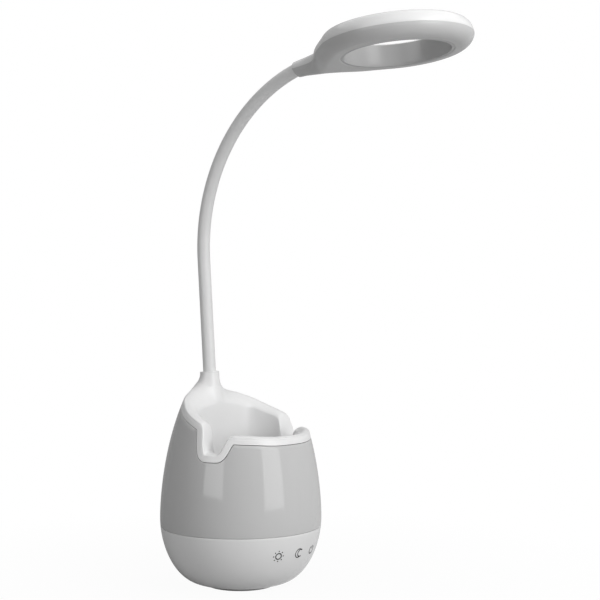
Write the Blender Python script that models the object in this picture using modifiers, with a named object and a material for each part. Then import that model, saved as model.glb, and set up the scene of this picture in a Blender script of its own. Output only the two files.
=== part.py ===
"""Desk lamp with a pen holder: an egg shaped base, a gooseneck and a ring head.

The lamp stands on the plane z = 0 with the base's axis on z. Its front faces -Y.
Distances called forward run along -Y, away from the gooseneck's foot.
"""

import math

import bmesh
import bpy
from mathutils import Matrix, Vector

MM = 0.001

# Clearances
GAP = 0.3 * MM
OVERRUN = 4.0 * MM
MERGE = 0.00001

# Turned body of the base
BODY_BOTTOM_Z = 2.5 * MM
BODY_BOTTOM_RADIUS = 28.0 * MM
WAIST_Z = 47.0 * MM
WAIST_RADIUS = 56.0 * MM
RIM_BACK_RADIUS = 37.61 * MM
UPPER_POWER = 1.8
LOWER_POWER = 1.85
SEAM_Z = 41.2 * MM
BOWL_WALL = 2.4 * MM
DIFFUSER_WALL = 2.0 * MM
LEDGE_WIDTH = 3.0 * MM
LEDGE_HEIGHT = 2.0 * MM

# Bottom cover, foot and ballast
FOOT_RADIUS = 24.0 * MM
HATCH_RADIUS = 22.0 * MM
COVER_FLANGE = 2.6 * MM
COVER_THICKNESS = 2.0 * MM
COVER_SCREW_CIRCLE = 17.0 * MM
COVER_SCREW_COUNT = 4
COVER_SCREW_START_ANGLE = 45.0
BALLAST_RADIUS = 32.0 * MM
BALLAST_THICKNESS = 5.0 * MM

# Screws
SCREW_RADIUS = 1.1 * MM
SCREW_HEAD_RADIUS = 2.2 * MM
SCREW_HEAD_HEIGHT = 1.2 * MM

# Battery, tray and main board
CELL_RADIUS = 9.0 * MM
CELL_LENGTH = 62.0 * MM
TRAY_WALL = 2.0 * MM
TRAY_DEPTH_SHARE = 0.62
BOARD_THICKNESS = 1.6 * MM
MAIN_BOARD_WIDTH = 38.0 * MM
MAIN_BOARD_LENGTH = 56.0 * MM
MAIN_BOARD_INSET = 6.0 * MM

# Charging socket
SOCKET_WIDTH = 7.6 * MM
SOCKET_HEIGHT = 2.8 * MM
SOCKET_LENGTH = 9.0 * MM
SOCKET_WALL = 0.4 * MM
SOCKET_RECESS = 1.0 * MM

# Touch pads behind the three marks on the bowl
TOUCH_Z = 28.0 * MM
TOUCH_STEP_ANGLE = 17.5
TOUCH_COUNT = 3
TOUCH_PAD_RADIUS = 3.4 * MM
TOUCH_PAD_LENGTH = 5.0 * MM
TOUCH_STRIP_THICKNESS = 1.0 * MM
TOUCH_STRIP_HEIGHT = 12.0 * MM

# Mood light board round the foot of the cup
MOOD_BOARD_INNER = 10.0 * MM
MOOD_LED_COUNT = 6
MOOD_LED_INSET = 5.3 * MM
MOOD_LED_SIZE = 4.4 * MM
MOOD_LED_HEIGHT = 1.5 * MM

# Pen cup
RIM_FRONT_Z = 105.6 * MM
RIM_BACK_Z = 133.0 * MM
NOTCH_FLOOR_Z = 95.2 * MM
BAND_HEIGHT = 4.8 * MM
LIP_RADIUS = 1.6 * MM
SHOULDER_DROP = 6.5 * MM
CUP_FLOOR_Z = 46.6 * MM
CUP_WALL = 2.0 * MM
RIM_WIDTH = 6.6 * MM
BORE_SHIFT = 6.0 * MM
BORE_FLOOR_SHARE = 0.95
BORE_BACK_WALL = 10.5 * MM
BORE_CORNER_POWER = 12.0
CUP_SCREW_COUNT = 3
CUP_SCREW_START_ANGLE = 60.0
CUP_SCREW_INSET = 3.5 * MM
CUP_BOSS_RADIUS = 2.6 * MM

# Rim line, as angles from the front and shares of the rise from front to back
RIM_RISE_SHARES = (
    (0.0, 0.0), (20.0, 0.0), (40.0, 0.045), (57.0, 0.06), (80.0, 0.28), (86.0, 0.38),
    (94.0, 0.46), (105.0, 0.57), (118.0, 0.735), (138.0, 0.92), (158.0, 0.99), (180.0, 1.0),
)
SHOULDER_DROP_SHARES = (
    (0.0, 0.0), (88.0, 0.0), (94.0, 0.08), (111.0, 0.35), (130.0, 0.82), (145.0, 0.94),
    (180.0, 1.0),
)
NOTCH_FRONT_ANGLES = (57.0, 67.5)
NOTCH_BACK_ANGLES = (77.3, 82.3)
HALF_ANGLES = (
    0, 10, 20, 30, 40, 50, 55, 58, 60, 62, 64, 66, 69, 73, 76, 78, 79.2, 80.4, 81.6, 84,
    90, 98, 106, 114, 121, 127, 133, 140, 148, 157, 168, 180,
)

# Gooseneck: a straight run and one arc, in the lamp's plane of symmetry
NECK_INSET = 7.6 * MM
NECK_FOOT_Z = 148.8 * MM
NECK_LEAN_ANGLE = -4.0
NECK_STRAIGHT = 77.4 * MM
NECK_ARC_RADIUS = 123.9 * MM
NECK_LENGTH = 242.4 * MM
SLEEVE_RADIUS = 4.5 * MM
CORE_RADIUS = 2.4 * MM
WIRE_BORE_RADIUS = 1.2 * MM
SLEEVE_SIDES = 14
CORE_SIDES = 10
FIRST_PIVOT = 17.0 * MM
PIVOT_COUNT = 7
LAST_PIVOT_BACK = 14.0 * MM

# Neck collar and ferrule
COLLAR_RADIUS = 6.7 * MM
COLLAR_TOP_Z = 146.4 * MM
COLLAR_STRAIGHT = 0.9 * MM
FLARE_RADIUS = 13.0 * MM
FLARE_FRONT_REACH = 3.0 * MM
NECK_SEAT_DEPTH = 9.0 * MM
FERRULE_LENGTH = 16.0 * MM
FERRULE_WALL = 0.8 * MM
NUT_RADIUS = 5.2 * MM
NUT_HEIGHT = 4.0 * MM

# Ring head, in its own frame: x sideways, y backward, z along the ring's axis
HEAD_TURN_ANGLE = 10.9
HEAD_REACH = 82.4 * MM
HOLE_RADIUS = 34.4 * MM
RING_RADIUS = 49.5 * MM
HEAD_THICKNESS = 16.4 * MM
HEAD_WALL = 1.5 * MM
PARTING_SHARE = 0.48
INNER_WALL = 1.8 * MM
RING_SIDES = 44
STEM_SIDES = 16
STEM_POWER = 2.3
HEAD_BOARD_INNER = 37.2 * MM
HEAD_BOARD_OUTER = 44.6 * MM
HEAD_BOARD_THICKNESS = 1.2 * MM
HEAD_LED_COUNT = 8
HEAD_LED_SIZE = 3.0 * MM
HEAD_LED_HEIGHT = 0.9 * MM
CLAMP_LENGTH = 10.0 * MM
CLAMP_WALL = 0.5 * MM

# Ring section from the hole's lower edge outward, up and back to the hole's upper edge,
# as shares of the ring's width and of the head's thickness
RING_SECTION_SHARES = (
    (0.0, 0.03), (0.04, 0.0), (0.44, 0.0), (0.74, 0.10), (0.93, 0.29), (1.0, 0.49),
    (0.97, 0.66), (0.86, 0.83), (0.62, 0.99), (0.3, 0.93), (0.05, 0.865), (0.0, 0.83),
)
# Stem sections from its end to the ring: place along the stem, half width of the ring's
# radius, half height and middle of the thickness, and tilt of the gooseneck's turn
STEM_SECTION_SHARES = (
    (0.0, 0.110, 0.335, 0.470, 1.0), (0.18, 0.112, 0.375, 0.495, 0.7),
    (0.38, 0.132, 0.415, 0.495, 0.3), (0.56, 0.175, 0.450, 0.485, 0.0),
    (0.72, 0.26, 0.465, 0.485, 0.0), (0.86, 0.37, 0.47, 0.485, 0.0),
    (1.0, 0.48, 0.465, 0.49, 0.0), (1.18, 0.575, 0.455, 0.495, 0.0),
    (1.37, 0.655, 0.43, 0.50, 0.0),
)

# Colours, roughness and metallic value of each material
FINISHES = {
    "gloss_white": ((0.86, 0.86, 0.87), 0.22, 0.0),
    "liner_white": ((0.90, 0.90, 0.90), 0.30, 0.0),
    "milky_grey": ((0.66, 0.66, 0.66), 0.18, 0.0),
    "sleeve_white": ((0.80, 0.80, 0.80), 0.45, 0.0),
    "lens_white": ((0.80, 0.80, 0.79), 0.25, 0.0),
    "rubber_grey": ((0.62, 0.62, 0.62), 0.75, 0.0),
    "steel": ((0.60, 0.60, 0.62), 0.35, 1.0),
    "board_green": ((0.05, 0.25, 0.12), 0.50, 0.0),
    "cell_blue": ((0.06, 0.12, 0.35), 0.40, 0.0),
    "tray_black": ((0.04, 0.04, 0.04), 0.60, 0.0),
    "led_yellow": ((0.90, 0.80, 0.35), 0.40, 0.0),
}


def clear_scene():
    for obj in list(bpy.data.objects):
        bpy.data.objects.remove(obj, do_unlink=True)


def new_collection(name):
    collection = bpy.data.collections.new(name)
    bpy.context.scene.collection.children.link(collection)
    return collection


# Building tools

def material_for(name, finish):
    colour, roughness, metallic = FINISHES[finish]
    material = bpy.data.materials.new(name + "_material")
    material.use_nodes = True
    shader = material.node_tree.nodes["Principled BSDF"]
    shader.inputs["Base Color"].default_value = (*colour, 1.0)
    shader.inputs["Roughness"].default_value = roughness
    shader.inputs["Metallic"].default_value = metallic
    material.diffuse_color = (*colour, 1.0)
    return material


def add_part(name, mesh, finish):
    obj = bpy.data.objects.new(name, mesh)
    mesh.name = name
    mesh.materials.clear()
    mesh.materials.append(material_for(name, finish))
    parts.objects.link(obj)
    return obj


def add_guide(name, mesh):
    obj = bpy.data.objects.new(name, mesh)
    obj.hide_render = True
    obj.display_type = "WIRE"
    guides.objects.link(obj)
    return obj


def smooth_round_faces(mesh, angle=35.0):
    mesh.shade_smooth()
    mesh.set_sharp_from_angle(angle=math.radians(angle))


def baked_mesh(obj):
    """Return the evaluated mesh of an object and remove the object."""
    depsgraph = bpy.context.evaluated_depsgraph_get()
    mesh = bpy.data.meshes.new_from_object(obj.evaluated_get(depsgraph))
    bpy.data.objects.remove(obj, do_unlink=True)
    return mesh


def box_mesh(size, centre):
    mesh = bpy.data.meshes.new("box")
    bm = bmesh.new()
    bmesh.ops.create_cube(bm, size=1.0)
    bmesh.ops.scale(bm, vec=size, verts=bm.verts)
    bmesh.ops.translate(bm, vec=centre, verts=bm.verts)
    bm.to_mesh(mesh)
    bm.free()
    return mesh


def cylinder_mesh(radius, depth, centre, sides=24, axis="Z"):
    turns = {
        "X": Matrix.Rotation(math.radians(90), 3, "Y"),
        "Y": Matrix.Rotation(math.radians(90), 3, "X"),
        "Z": Matrix.Identity(3),
    }
    mesh = bpy.data.meshes.new("cylinder")
    bm = bmesh.new()
    bmesh.ops.create_cone(
        bm, cap_ends=True, segments=sides, radius1=radius, radius2=radius, depth=depth,
    )
    bmesh.ops.rotate(bm, verts=bm.verts, matrix=turns[axis])
    bmesh.ops.translate(bm, vec=centre, verts=bm.verts)
    bm.to_mesh(mesh)
    bm.free()
    smooth_round_faces(mesh)
    return mesh


def turned_mesh(profile, sides=40, closed=False):
    """Turn a profile of (radius, z) about z. It runs down its outer side."""
    mesh = bpy.data.meshes.new("profile")
    count = len(profile)
    edges = [(i, i + 1) for i in range(count - 1)]
    if closed:
        edges.append((count - 1, 0))
    mesh.from_pydata([(radius, 0.0, z) for radius, z in profile], edges, [])
    obj = bpy.data.objects.new("profile", mesh)
    guides.objects.link(obj)
    screw = obj.modifiers.new("Turn", "SCREW")
    screw.axis = "Z"
    screw.steps = sides
    screw.render_steps = sides
    screw.use_merge_vertices = True
    screw.merge_threshold = MERGE
    turned = baked_mesh(obj)
    bpy.data.meshes.remove(mesh)
    smooth_round_faces(turned)
    return turned


def loft_mesh(columns, around=True, poles=False):
    """Join columns of points by quads.

    The columns run right round when around is set. With poles set, each column starts
    and ends on the axis and the end points are shared. Otherwise each is a closed loop.
    """
    bm = bmesh.new()
    rows = len(columns[0])
    first_pole = bm.verts.new(columns[0][0]) if poles else None
    last_pole = bm.verts.new(columns[0][-1]) if poles else None
    grid = []
    for column in columns:
        inner = column[1:-1] if poles else column
        verts = [bm.verts.new(point) for point in inner]
        grid.append([first_pole, *verts, last_pole] if poles else verts)
    pairs = len(columns) if around else len(columns) - 1
    steps = rows - 1 if poles else rows
    for i in range(pairs):
        here = grid[i]
        there = grid[(i + 1) % len(grid)]
        for j in range(steps):
            k = (j + 1) % rows
            corners = [here[j], there[j], there[k], here[k]]
            bm.faces.new(list(dict.fromkeys(corners)))
    if not around:
        bm.faces.new(grid[0])
        bm.faces.new(list(reversed(grid[-1])))
    bmesh.ops.recalc_face_normals(bm, faces=bm.faces)
    mesh = bpy.data.meshes.new("loft")
    bm.to_mesh(mesh)
    bm.free()
    smooth_round_faces(mesh)
    return mesh


def placed(mesh, matrix):
    mesh.transform(matrix)
    return mesh


def combine(obj, operation, *meshes):
    """Join, cut or trim an object with each mesh in turn."""
    for index, mesh in enumerate(meshes):
        tool = add_guide(f"{obj.name}_{operation.lower()}_{index}", mesh)
        modifier = obj.modifiers.new(operation.title(), "BOOLEAN")
        modifier.operation = operation
        modifier.solver = "EXACT"
        modifier.object = tool
    return obj


def smoothstep(low, high, value):
    share = min(max((value - low) / (high - low), 0.0), 1.0)
    return share * share * (3.0 - 2.0 * share)


def share_at(table, value):
    """Read a table of (place, share) in straight runs between neighbours."""
    for (place_a, share_a), (place_b, share_b) in zip(table, table[1:]):
        if value <= place_b:
            step = (value - place_a) / (place_b - place_a)
            return share_a + (share_b - share_a) * step
    return table[-1][1]


def spot(forward, z, side=0.0):
    return Vector((side, -forward, z))


# Outlines of the base

def upper_span():
    """Height above the waist at which the body's line would close over the axis."""
    left = 1.0 - (RIM_BACK_RADIUS / WAIST_RADIUS) ** 2
    return (RIM_BACK_Z - WAIST_Z) / left ** (1.0 / UPPER_POWER)


def egg_radius(z):
    """Outer radius of the base at a height."""
    if z >= WAIST_Z:
        share = (z - WAIST_Z) / upper_span()
        return WAIST_RADIUS * math.sqrt(max(1.0 - share ** UPPER_POWER, 0.0))
    share = (WAIST_Z - max(z, BODY_BOTTOM_Z)) / (WAIST_Z - BODY_BOTTOM_Z)
    bulge = WAIST_RADIUS - BODY_BOTTOM_RADIUS
    return BODY_BOTTOM_RADIUS + bulge * math.sqrt(max(1.0 - share ** LOWER_POWER, 0.0))


def inner_radius(z, wall):
    """Radius inside a wall of even thickness at a height."""
    slope = (egg_radius(z + GAP) - egg_radius(z - GAP)) / (2.0 * GAP)
    return egg_radius(z) - wall * math.sqrt(1.0 + slope * slope)


def rim_height(angle):
    """Height of the rim's outer top edge at an angle from the front."""
    angle = abs(angle)
    plain = RIM_FRONT_Z + (RIM_BACK_Z - RIM_FRONT_Z) * share_at(RIM_RISE_SHARES, angle)
    notch = smoothstep(*NOTCH_FRONT_ANGLES, angle) - smoothstep(*NOTCH_BACK_ANGLES, angle)
    return plain + (NOTCH_FLOOR_Z - plain) * notch


def band_foot_height(angle):
    """Height of the band's lower edge, an even width below the rim's line."""
    radius = egg_radius(RIM_FRONT_Z)
    reach = math.degrees(BAND_HEIGHT / radius)
    steps = 24
    lowest = rim_height(angle) - BAND_HEIGHT
    for i in range(-steps, steps + 1):
        turn = math.radians(90.0 * i / steps)
        beside = rim_height(angle + reach * math.sin(turn))
        lowest = min(lowest, beside - BAND_HEIGHT * math.cos(turn))
    return lowest


def bore_radius(angle):
    """Radius of the cup's bore: a shifted circle with a flat back before the neck."""
    turn = math.radians(angle)
    across = BORE_SHIFT * math.sin(turn)
    round_radius = egg_radius(RIM_FRONT_Z) - RIM_WIDTH - BORE_SHIFT
    circle = BORE_SHIFT * math.cos(turn) + math.sqrt(round_radius ** 2 - across ** 2)
    flat_share = circle * max(-math.cos(turn), 0.0) / (neck_foot_back() - BORE_BACK_WALL)
    corner = 1.0 + flat_share ** BORE_CORNER_POWER
    return circle * corner ** (-1.0 / BORE_CORNER_POWER)


def rim_angles():
    back_to_front = [-angle for angle in reversed(HALF_ANGLES[1:-1])]
    return back_to_front + list(HALF_ANGLES)


def ring_point(angle, radius, z):
    turn = math.radians(angle)
    return (radius * math.sin(turn), -radius * math.cos(turn), z)


# Gooseneck line

def neck_foot_back():
    """Distance of the gooseneck's foot behind the base's axis, a set way inside the rim."""
    return RIM_BACK_RADIUS - NECK_INSET


def neck_heading(s):
    """Angle of the gooseneck from upright, forward, at a length along it."""
    return math.radians(NECK_LEAN_ANGLE) + max(s - NECK_STRAIGHT, 0.0) / NECK_ARC_RADIUS


def neck_point(s, side=0.0, ahead=0.0):
    """Point at a length along the gooseneck, moved sideways and square to it."""
    lean = math.radians(NECK_LEAN_ANGLE)
    run = min(s, NECK_STRAIGHT)
    forward = run * math.sin(lean) - neck_foot_back()
    z = NECK_FOOT_Z + run * math.cos(lean)
    heading = neck_heading(s)
    forward += NECK_ARC_RADIUS * (math.cos(lean) - math.cos(heading))
    z += NECK_ARC_RADIUS * (math.sin(heading) - math.sin(lean))
    forward += ahead * math.cos(heading)
    z -= ahead * math.sin(heading)
    return spot(forward, z, side)


def neck_frame(s):
    """Matrix with its z along the gooseneck and its origin on its line."""
    turn = Matrix.Rotation(neck_heading(s), 4, "X")
    return Matrix.Translation(neck_point(s)) @ turn


def pivot_places():
    last = NECK_LENGTH - LAST_PIVOT_BACK
    step = (last - FIRST_PIVOT) / (PIVOT_COUNT - 1)
    return [FIRST_PIVOT + step * i for i in range(PIVOT_COUNT)]


def bent(mesh):
    """Bend a mesh turned about z onto the gooseneck's line, z becoming its length."""
    for vertex in mesh.vertices:
        x, y, s = vertex.co
        vertex.co = neck_point(s, side=x, ahead=-y)
    return mesh


# Base pieces

def make_bowl():
    outer_shares = (1.0, 0.78, 0.58, 0.40, 0.27, 0.16, 0.08, 0.025, 0.0)
    top = SEAM_Z - GAP / 2.0
    height = top - BODY_BOTTOM_Z
    outer = [(egg_radius(BODY_BOTTOM_Z + height * k), BODY_BOTTOM_Z + height * k)
             for k in outer_shares]
    floor = BODY_BOTTOM_Z + BOWL_WALL
    ledge_radius = inner_radius(top, BOWL_WALL) - LEDGE_WIDTH
    inner_shares = (0.14, 0.26, 0.45, 0.88)
    inner = [(inner_radius(BODY_BOTTOM_Z + height * k, BOWL_WALL),
              BODY_BOTTOM_Z + height * k) for k in inner_shares]
    profile = [
        *outer,
        (HATCH_RADIUS + GAP, BODY_BOTTOM_Z),
        (HATCH_RADIUS + GAP, floor),
        (BODY_BOTTOM_RADIUS + BOWL_WALL, floor),
        *inner,
        (ledge_radius, top - LEDGE_HEIGHT),
        (ledge_radius, top),
    ]
    bowl = add_part("base_bowl", turned_mesh(profile, closed=True), "gloss_white")
    slot = box_mesh(
        (SOCKET_WIDTH + 2.0 * GAP, BOWL_WALL + SOCKET_LENGTH, SOCKET_HEIGHT + 2.0 * GAP),
        spot(-egg_radius(socket_z()), socket_z()),
    )
    combine(bowl, "DIFFERENCE", slot)
    return bowl


def make_foot():
    top = BODY_BOTTOM_Z - GAP
    chamfer = top / 4.0
    profile = [
        (0.0, top), (FOOT_RADIUS, top), (FOOT_RADIUS, chamfer),
        (FOOT_RADIUS - chamfer, 0.0), (0.0, 0.0),
    ]
    return add_part("foot_pad", turned_mesh(profile), "rubber_grey")


def cover_top():
    return BODY_BOTTOM_Z + BOWL_WALL + GAP + COVER_THICKNESS


def cup_screw_circle():
    """Circle of the cup's screws, a set way inside the flat back of the cup's floor."""
    return bore_radius(180.0) * BORE_FLOOR_SHARE - CUP_SCREW_INSET


def screw_angles(count, start):
    return [start + 360.0 * i / count for i in range(count)]


def make_cover():
    flange = HATCH_RADIUS + COVER_FLANGE
    under = BODY_BOTTOM_Z + BOWL_WALL + GAP
    profile = [
        (0.0, cover_top()), (flange, cover_top()), (flange, under),
        (HATCH_RADIUS, under), (HATCH_RADIUS, BODY_BOTTOM_Z), (0.0, BODY_BOTTOM_Z),
    ]
    cover = add_part("base_cover", turned_mesh(profile), "gloss_white")
    holes = []
    for angle in screw_angles(COVER_SCREW_COUNT, COVER_SCREW_START_ANGLE):
        x, y, z = ring_point(angle, COVER_SCREW_CIRCLE, BODY_BOTTOM_Z)
        sink = cylinder_mesh(SCREW_HEAD_RADIUS + GAP,
                             2.0 * (SCREW_HEAD_HEIGHT + 2.0 * GAP), (x, y, z), 16)
        shank = cylinder_mesh(SCREW_RADIUS + GAP, 4.0 * cover_top(), (x, y, z), 12)
        holes += [sink, shank]
    return combine(cover, "DIFFERENCE", *holes)


def make_cover_screws():
    top = ballast_top() - GAP
    head_under = BODY_BOTTOM_Z + GAP
    head_top = head_under + SCREW_HEAD_HEIGHT
    profile = [
        (0.0, top), (SCREW_RADIUS, top), (SCREW_RADIUS, head_top),
        (SCREW_HEAD_RADIUS, head_top), (SCREW_HEAD_RADIUS, head_under),
        (0.0, head_under),
    ]
    for i, angle in enumerate(screw_angles(COVER_SCREW_COUNT, COVER_SCREW_START_ANGLE)):
        screw = add_part(f"cover_screw_{i + 1}", turned_mesh(profile, 12), "steel")
        screw.location = ring_point(angle, COVER_SCREW_CIRCLE, 0.0)


def ballast_top():
    return cover_top() + GAP + BALLAST_THICKNESS


def make_ballast():
    middle = cover_top() + GAP + BALLAST_THICKNESS / 2.0
    ballast = add_part(
        "ballast_weight",
        cylinder_mesh(BALLAST_RADIUS, BALLAST_THICKNESS, (0.0, 0.0, middle), 40), "steel",
    )
    holes = []
    for angle in screw_angles(COVER_SCREW_COUNT, COVER_SCREW_START_ANGLE):
        x, y, _ = ring_point(angle, COVER_SCREW_CIRCLE, 0.0)
        holes.append(cylinder_mesh(SCREW_RADIUS + GAP, 2.0 * BALLAST_THICKNESS,
                                   (x, y, middle), 12))
    return combine(ballast, "DIFFERENCE", *holes)


def cell_z():
    return ballast_top() + GAP + TRAY_WALL + GAP + CELL_RADIUS


def make_battery():
    return add_part(
        "battery_cell",
        cylinder_mesh(CELL_RADIUS, CELL_LENGTH, (0.0, 0.0, cell_z()), 24, axis="X"),
        "cell_blue",
    )


def make_tray():
    """Open tray with a round bed, whose end walls carry the main board."""
    bottom = ballast_top() + GAP
    top = cell_z() + CELL_RADIUS + GAP
    length = CELL_LENGTH + 2.0 * (GAP + TRAY_WALL)
    width = 2.0 * (CELL_RADIUS + GAP + TRAY_WALL)
    size = (length, width, top - bottom)
    tray = add_part("battery_tray", box_mesh(size, (0.0, 0.0, (top + bottom) / 2.0)),
                    "tray_black")
    bed = cylinder_mesh(CELL_RADIUS + GAP, CELL_LENGTH + 2.0 * GAP,
                        (0.0, 0.0, cell_z()), 24, axis="X")
    mouth_height = top - cell_z() + OVERRUN
    mouth = box_mesh(
        (CELL_LENGTH + 2.0 * GAP, 2.0 * (CELL_RADIUS + GAP), mouth_height),
        (0.0, 0.0, cell_z() + mouth_height / 2.0),
    )
    side_bottom = bottom + (top - bottom) * TRAY_DEPTH_SHARE
    side_height = top - side_bottom + OVERRUN
    side_cut = box_mesh(
        (CELL_LENGTH - 2.0 * TRAY_WALL, width + OVERRUN, side_height),
        (0.0, 0.0, side_bottom + side_height / 2.0),
    )
    return combine(tray, "DIFFERENCE", bed, mouth, side_cut)


def main_board_z():
    return cell_z() + CELL_RADIUS + 2.0 * GAP + BOARD_THICKNESS / 2.0


def make_main_board():
    size = (MAIN_BOARD_WIDTH, MAIN_BOARD_LENGTH, BOARD_THICKNESS)
    wall = inner_radius(main_board_z(), BOWL_WALL)
    back = math.sqrt(wall ** 2 - (MAIN_BOARD_WIDTH / 2.0) ** 2) - MAIN_BOARD_INSET
    centre = spot(MAIN_BOARD_LENGTH / 2.0 - back, main_board_z())
    return add_part("main_board", box_mesh(size, centre), "board_green")


def socket_z():
    return main_board_z() + BOARD_THICKNESS / 2.0 + GAP + SOCKET_HEIGHT / 2.0


def make_socket():
    """Metal shell of the charging socket, open to the back of the bowl."""
    mouth = egg_radius(socket_z()) - SOCKET_RECESS
    middle = mouth - SOCKET_LENGTH / 2.0
    socket = add_part(
        "charging_socket",
        box_mesh((SOCKET_WIDTH, SOCKET_LENGTH, SOCKET_HEIGHT), spot(-middle, socket_z())),
        "steel",
    )
    hollow = box_mesh(
        (SOCKET_WIDTH - 2.0 * SOCKET_WALL, SOCKET_LENGTH,
         SOCKET_HEIGHT - 2.0 * SOCKET_WALL),
        spot(-middle - 2.0 * SOCKET_WALL, socket_z()),
    )
    return combine(socket, "DIFFERENCE", hollow)


def touch_angles():
    middle = (TOUCH_COUNT - 1) / 2.0
    return [TOUCH_STEP_ANGLE * (i - middle) for i in range(TOUCH_COUNT)]


def touch_pad_face():
    """Distance of each pad's outer face from the base's axis."""
    reach = inner_radius(TOUCH_Z - TOUCH_PAD_RADIUS, BOWL_WALL) - 2.0 * GAP
    return math.sqrt(reach ** 2 - TOUCH_PAD_RADIUS ** 2)


def make_touch_pads():
    face = touch_pad_face()
    for i, angle in enumerate(touch_angles()):
        mesh = cylinder_mesh(TOUCH_PAD_RADIUS, TOUCH_PAD_LENGTH,
                             (0.0, 0.0, 0.0), 16, axis="Y")
        pad = add_part(f"touch_pad_{i + 1}", mesh, "steel")
        pad.location = ring_point(angle, face - TOUCH_PAD_LENGTH / 2.0, TOUCH_Z)
        pad.rotation_euler.z = math.radians(angle)


def make_touch_strip():
    """Curved strip that carries the touch pads."""
    outer = touch_pad_face() - TOUCH_PAD_LENGTH - 2.0 * GAP
    inner = outer - TOUCH_STRIP_THICKNESS
    low = TOUCH_Z - TOUCH_STRIP_HEIGHT / 2.0
    high = TOUCH_Z + TOUCH_STRIP_HEIGHT / 2.0
    reach = TOUCH_STEP_ANGLE * (TOUCH_COUNT + 1) / 2.0 - TOUCH_STEP_ANGLE / 3.0
    steps = 12
    columns = []
    for i in range(steps + 1):
        angle = reach * (2.0 * i / steps - 1.0)
        corners = ((inner, low), (outer, low), (outer, high), (inner, high))
        columns.append([ring_point(angle, radius, z) for radius, z in corners])
    return add_part("touch_strip", loft_mesh(columns, around=False), "board_green")


def mood_board_bottom():
    return SEAM_Z - GAP / 2.0 + GAP


def mood_board_radius():
    return inner_radius(SEAM_Z, DIFFUSER_WALL) - 2.0 * GAP


def make_mood_board():
    outer = mood_board_radius()
    bottom = mood_board_bottom()
    top = bottom + BOARD_THICKNESS
    profile = [(outer, top), (outer, bottom), (MOOD_BOARD_INNER, bottom),
               (MOOD_BOARD_INNER, top)]
    board = add_part("mood_board", turned_mesh(profile, 40, closed=True), "board_green")
    holes = []
    for angle in screw_angles(CUP_SCREW_COUNT, CUP_SCREW_START_ANGLE):
        x, y, z = ring_point(angle, cup_screw_circle(), bottom)
        holes.append(cylinder_mesh(SCREW_RADIUS + GAP, 4.0 * BOARD_THICKNESS,
                                   (x, y, z), 12))
    return combine(board, "DIFFERENCE", *holes)


def make_mood_leds():
    z = mood_board_bottom() + BOARD_THICKNESS + GAP + MOOD_LED_HEIGHT / 2.0
    for i in range(MOOD_LED_COUNT):
        angle = 360.0 * (i + 0.5) / MOOD_LED_COUNT
        size = (MOOD_LED_SIZE, MOOD_LED_SIZE, MOOD_LED_HEIGHT)
        led = add_part(f"mood_led_{i + 1}", box_mesh(size, (0.0, 0.0, 0.0)), "led_yellow")
        led.location = ring_point(angle, mood_board_radius() - MOOD_LED_INSET, z)
        led.rotation_euler.z = math.radians(angle)


def make_cup_screws():
    """Screws that hold the cup's floor down on the mood light board."""
    head_top = mood_board_bottom() - GAP
    head_under = head_top - SCREW_HEAD_HEIGHT
    top = CUP_FLOOR_Z - CUP_WALL / 2.0 - GAP
    profile = [
        (0.0, top), (SCREW_RADIUS, top), (SCREW_RADIUS, head_top),
        (SCREW_HEAD_RADIUS, head_top), (SCREW_HEAD_RADIUS, head_under),
        (0.0, head_under),
    ]
    for i, angle in enumerate(screw_angles(CUP_SCREW_COUNT, CUP_SCREW_START_ANGLE)):
        screw = add_part(f"cup_screw_{i + 1}", turned_mesh(profile, 12), "steel")
        screw.location = ring_point(angle, cup_screw_circle(), 0.0)


def make_diffuser():
    """Milky shell between the bowl and the cup's band."""
    shares = (0.0, 0.16, 0.36, 0.58, 0.8, 1.0)
    low = SEAM_Z + GAP / 2.0
    columns = []
    for angle in rim_angles():
        high = band_foot_height(angle) - GAP
        heights = [low + (high - low) * share for share in shares]
        outer = [ring_point(angle, egg_radius(z), z) for z in heights]
        inner = [ring_point(angle, inner_radius(z, DIFFUSER_WALL), z) for z in heights]
        columns.append(outer + inner[::-1])
    return add_part("diffuser_shell", loft_mesh(columns), "milky_grey")


def cup_column(angle):
    """Points of the pen cup's section at an angle, from the floor's middle and back."""
    top = rim_height(angle)
    foot = band_foot_height(angle)
    bore = bore_radius(angle)
    lip = LIP_RADIUS / 2.0
    inner_top = top - lip - SHOULDER_DROP * share_at(SHOULDER_DROP_SHARES, abs(angle))
    liner = bore + CUP_WALL
    liner_top = min(foot, inner_top - CUP_WALL)
    under = CUP_FLOOR_Z - CUP_WALL
    section = (
        (0.0, CUP_FLOOR_Z),
        (bore * BORE_FLOOR_SHARE, CUP_FLOOR_Z),
        (bore, inner_top),
        (bore + lip, inner_top + lip),
        (egg_radius(top) - lip, top),
        (egg_radius(top - lip), top - lip),
        (egg_radius((top + foot) / 2.0), (top + foot) / 2.0),
        (egg_radius(foot), foot),
        (inner_radius(foot, DIFFUSER_WALL) - 2.0 * GAP, foot),
        (liner, liner_top),
        (liner * BORE_FLOOR_SHARE, under),
        (0.0, under),
    )
    return [ring_point(angle, radius, z) for radius, z in section]


def collar_place(z):
    """Length along the gooseneck, below or above its foot, at a height."""
    return (z - NECK_FOOT_Z) / math.cos(math.radians(NECK_LEAN_ANGLE))


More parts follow.
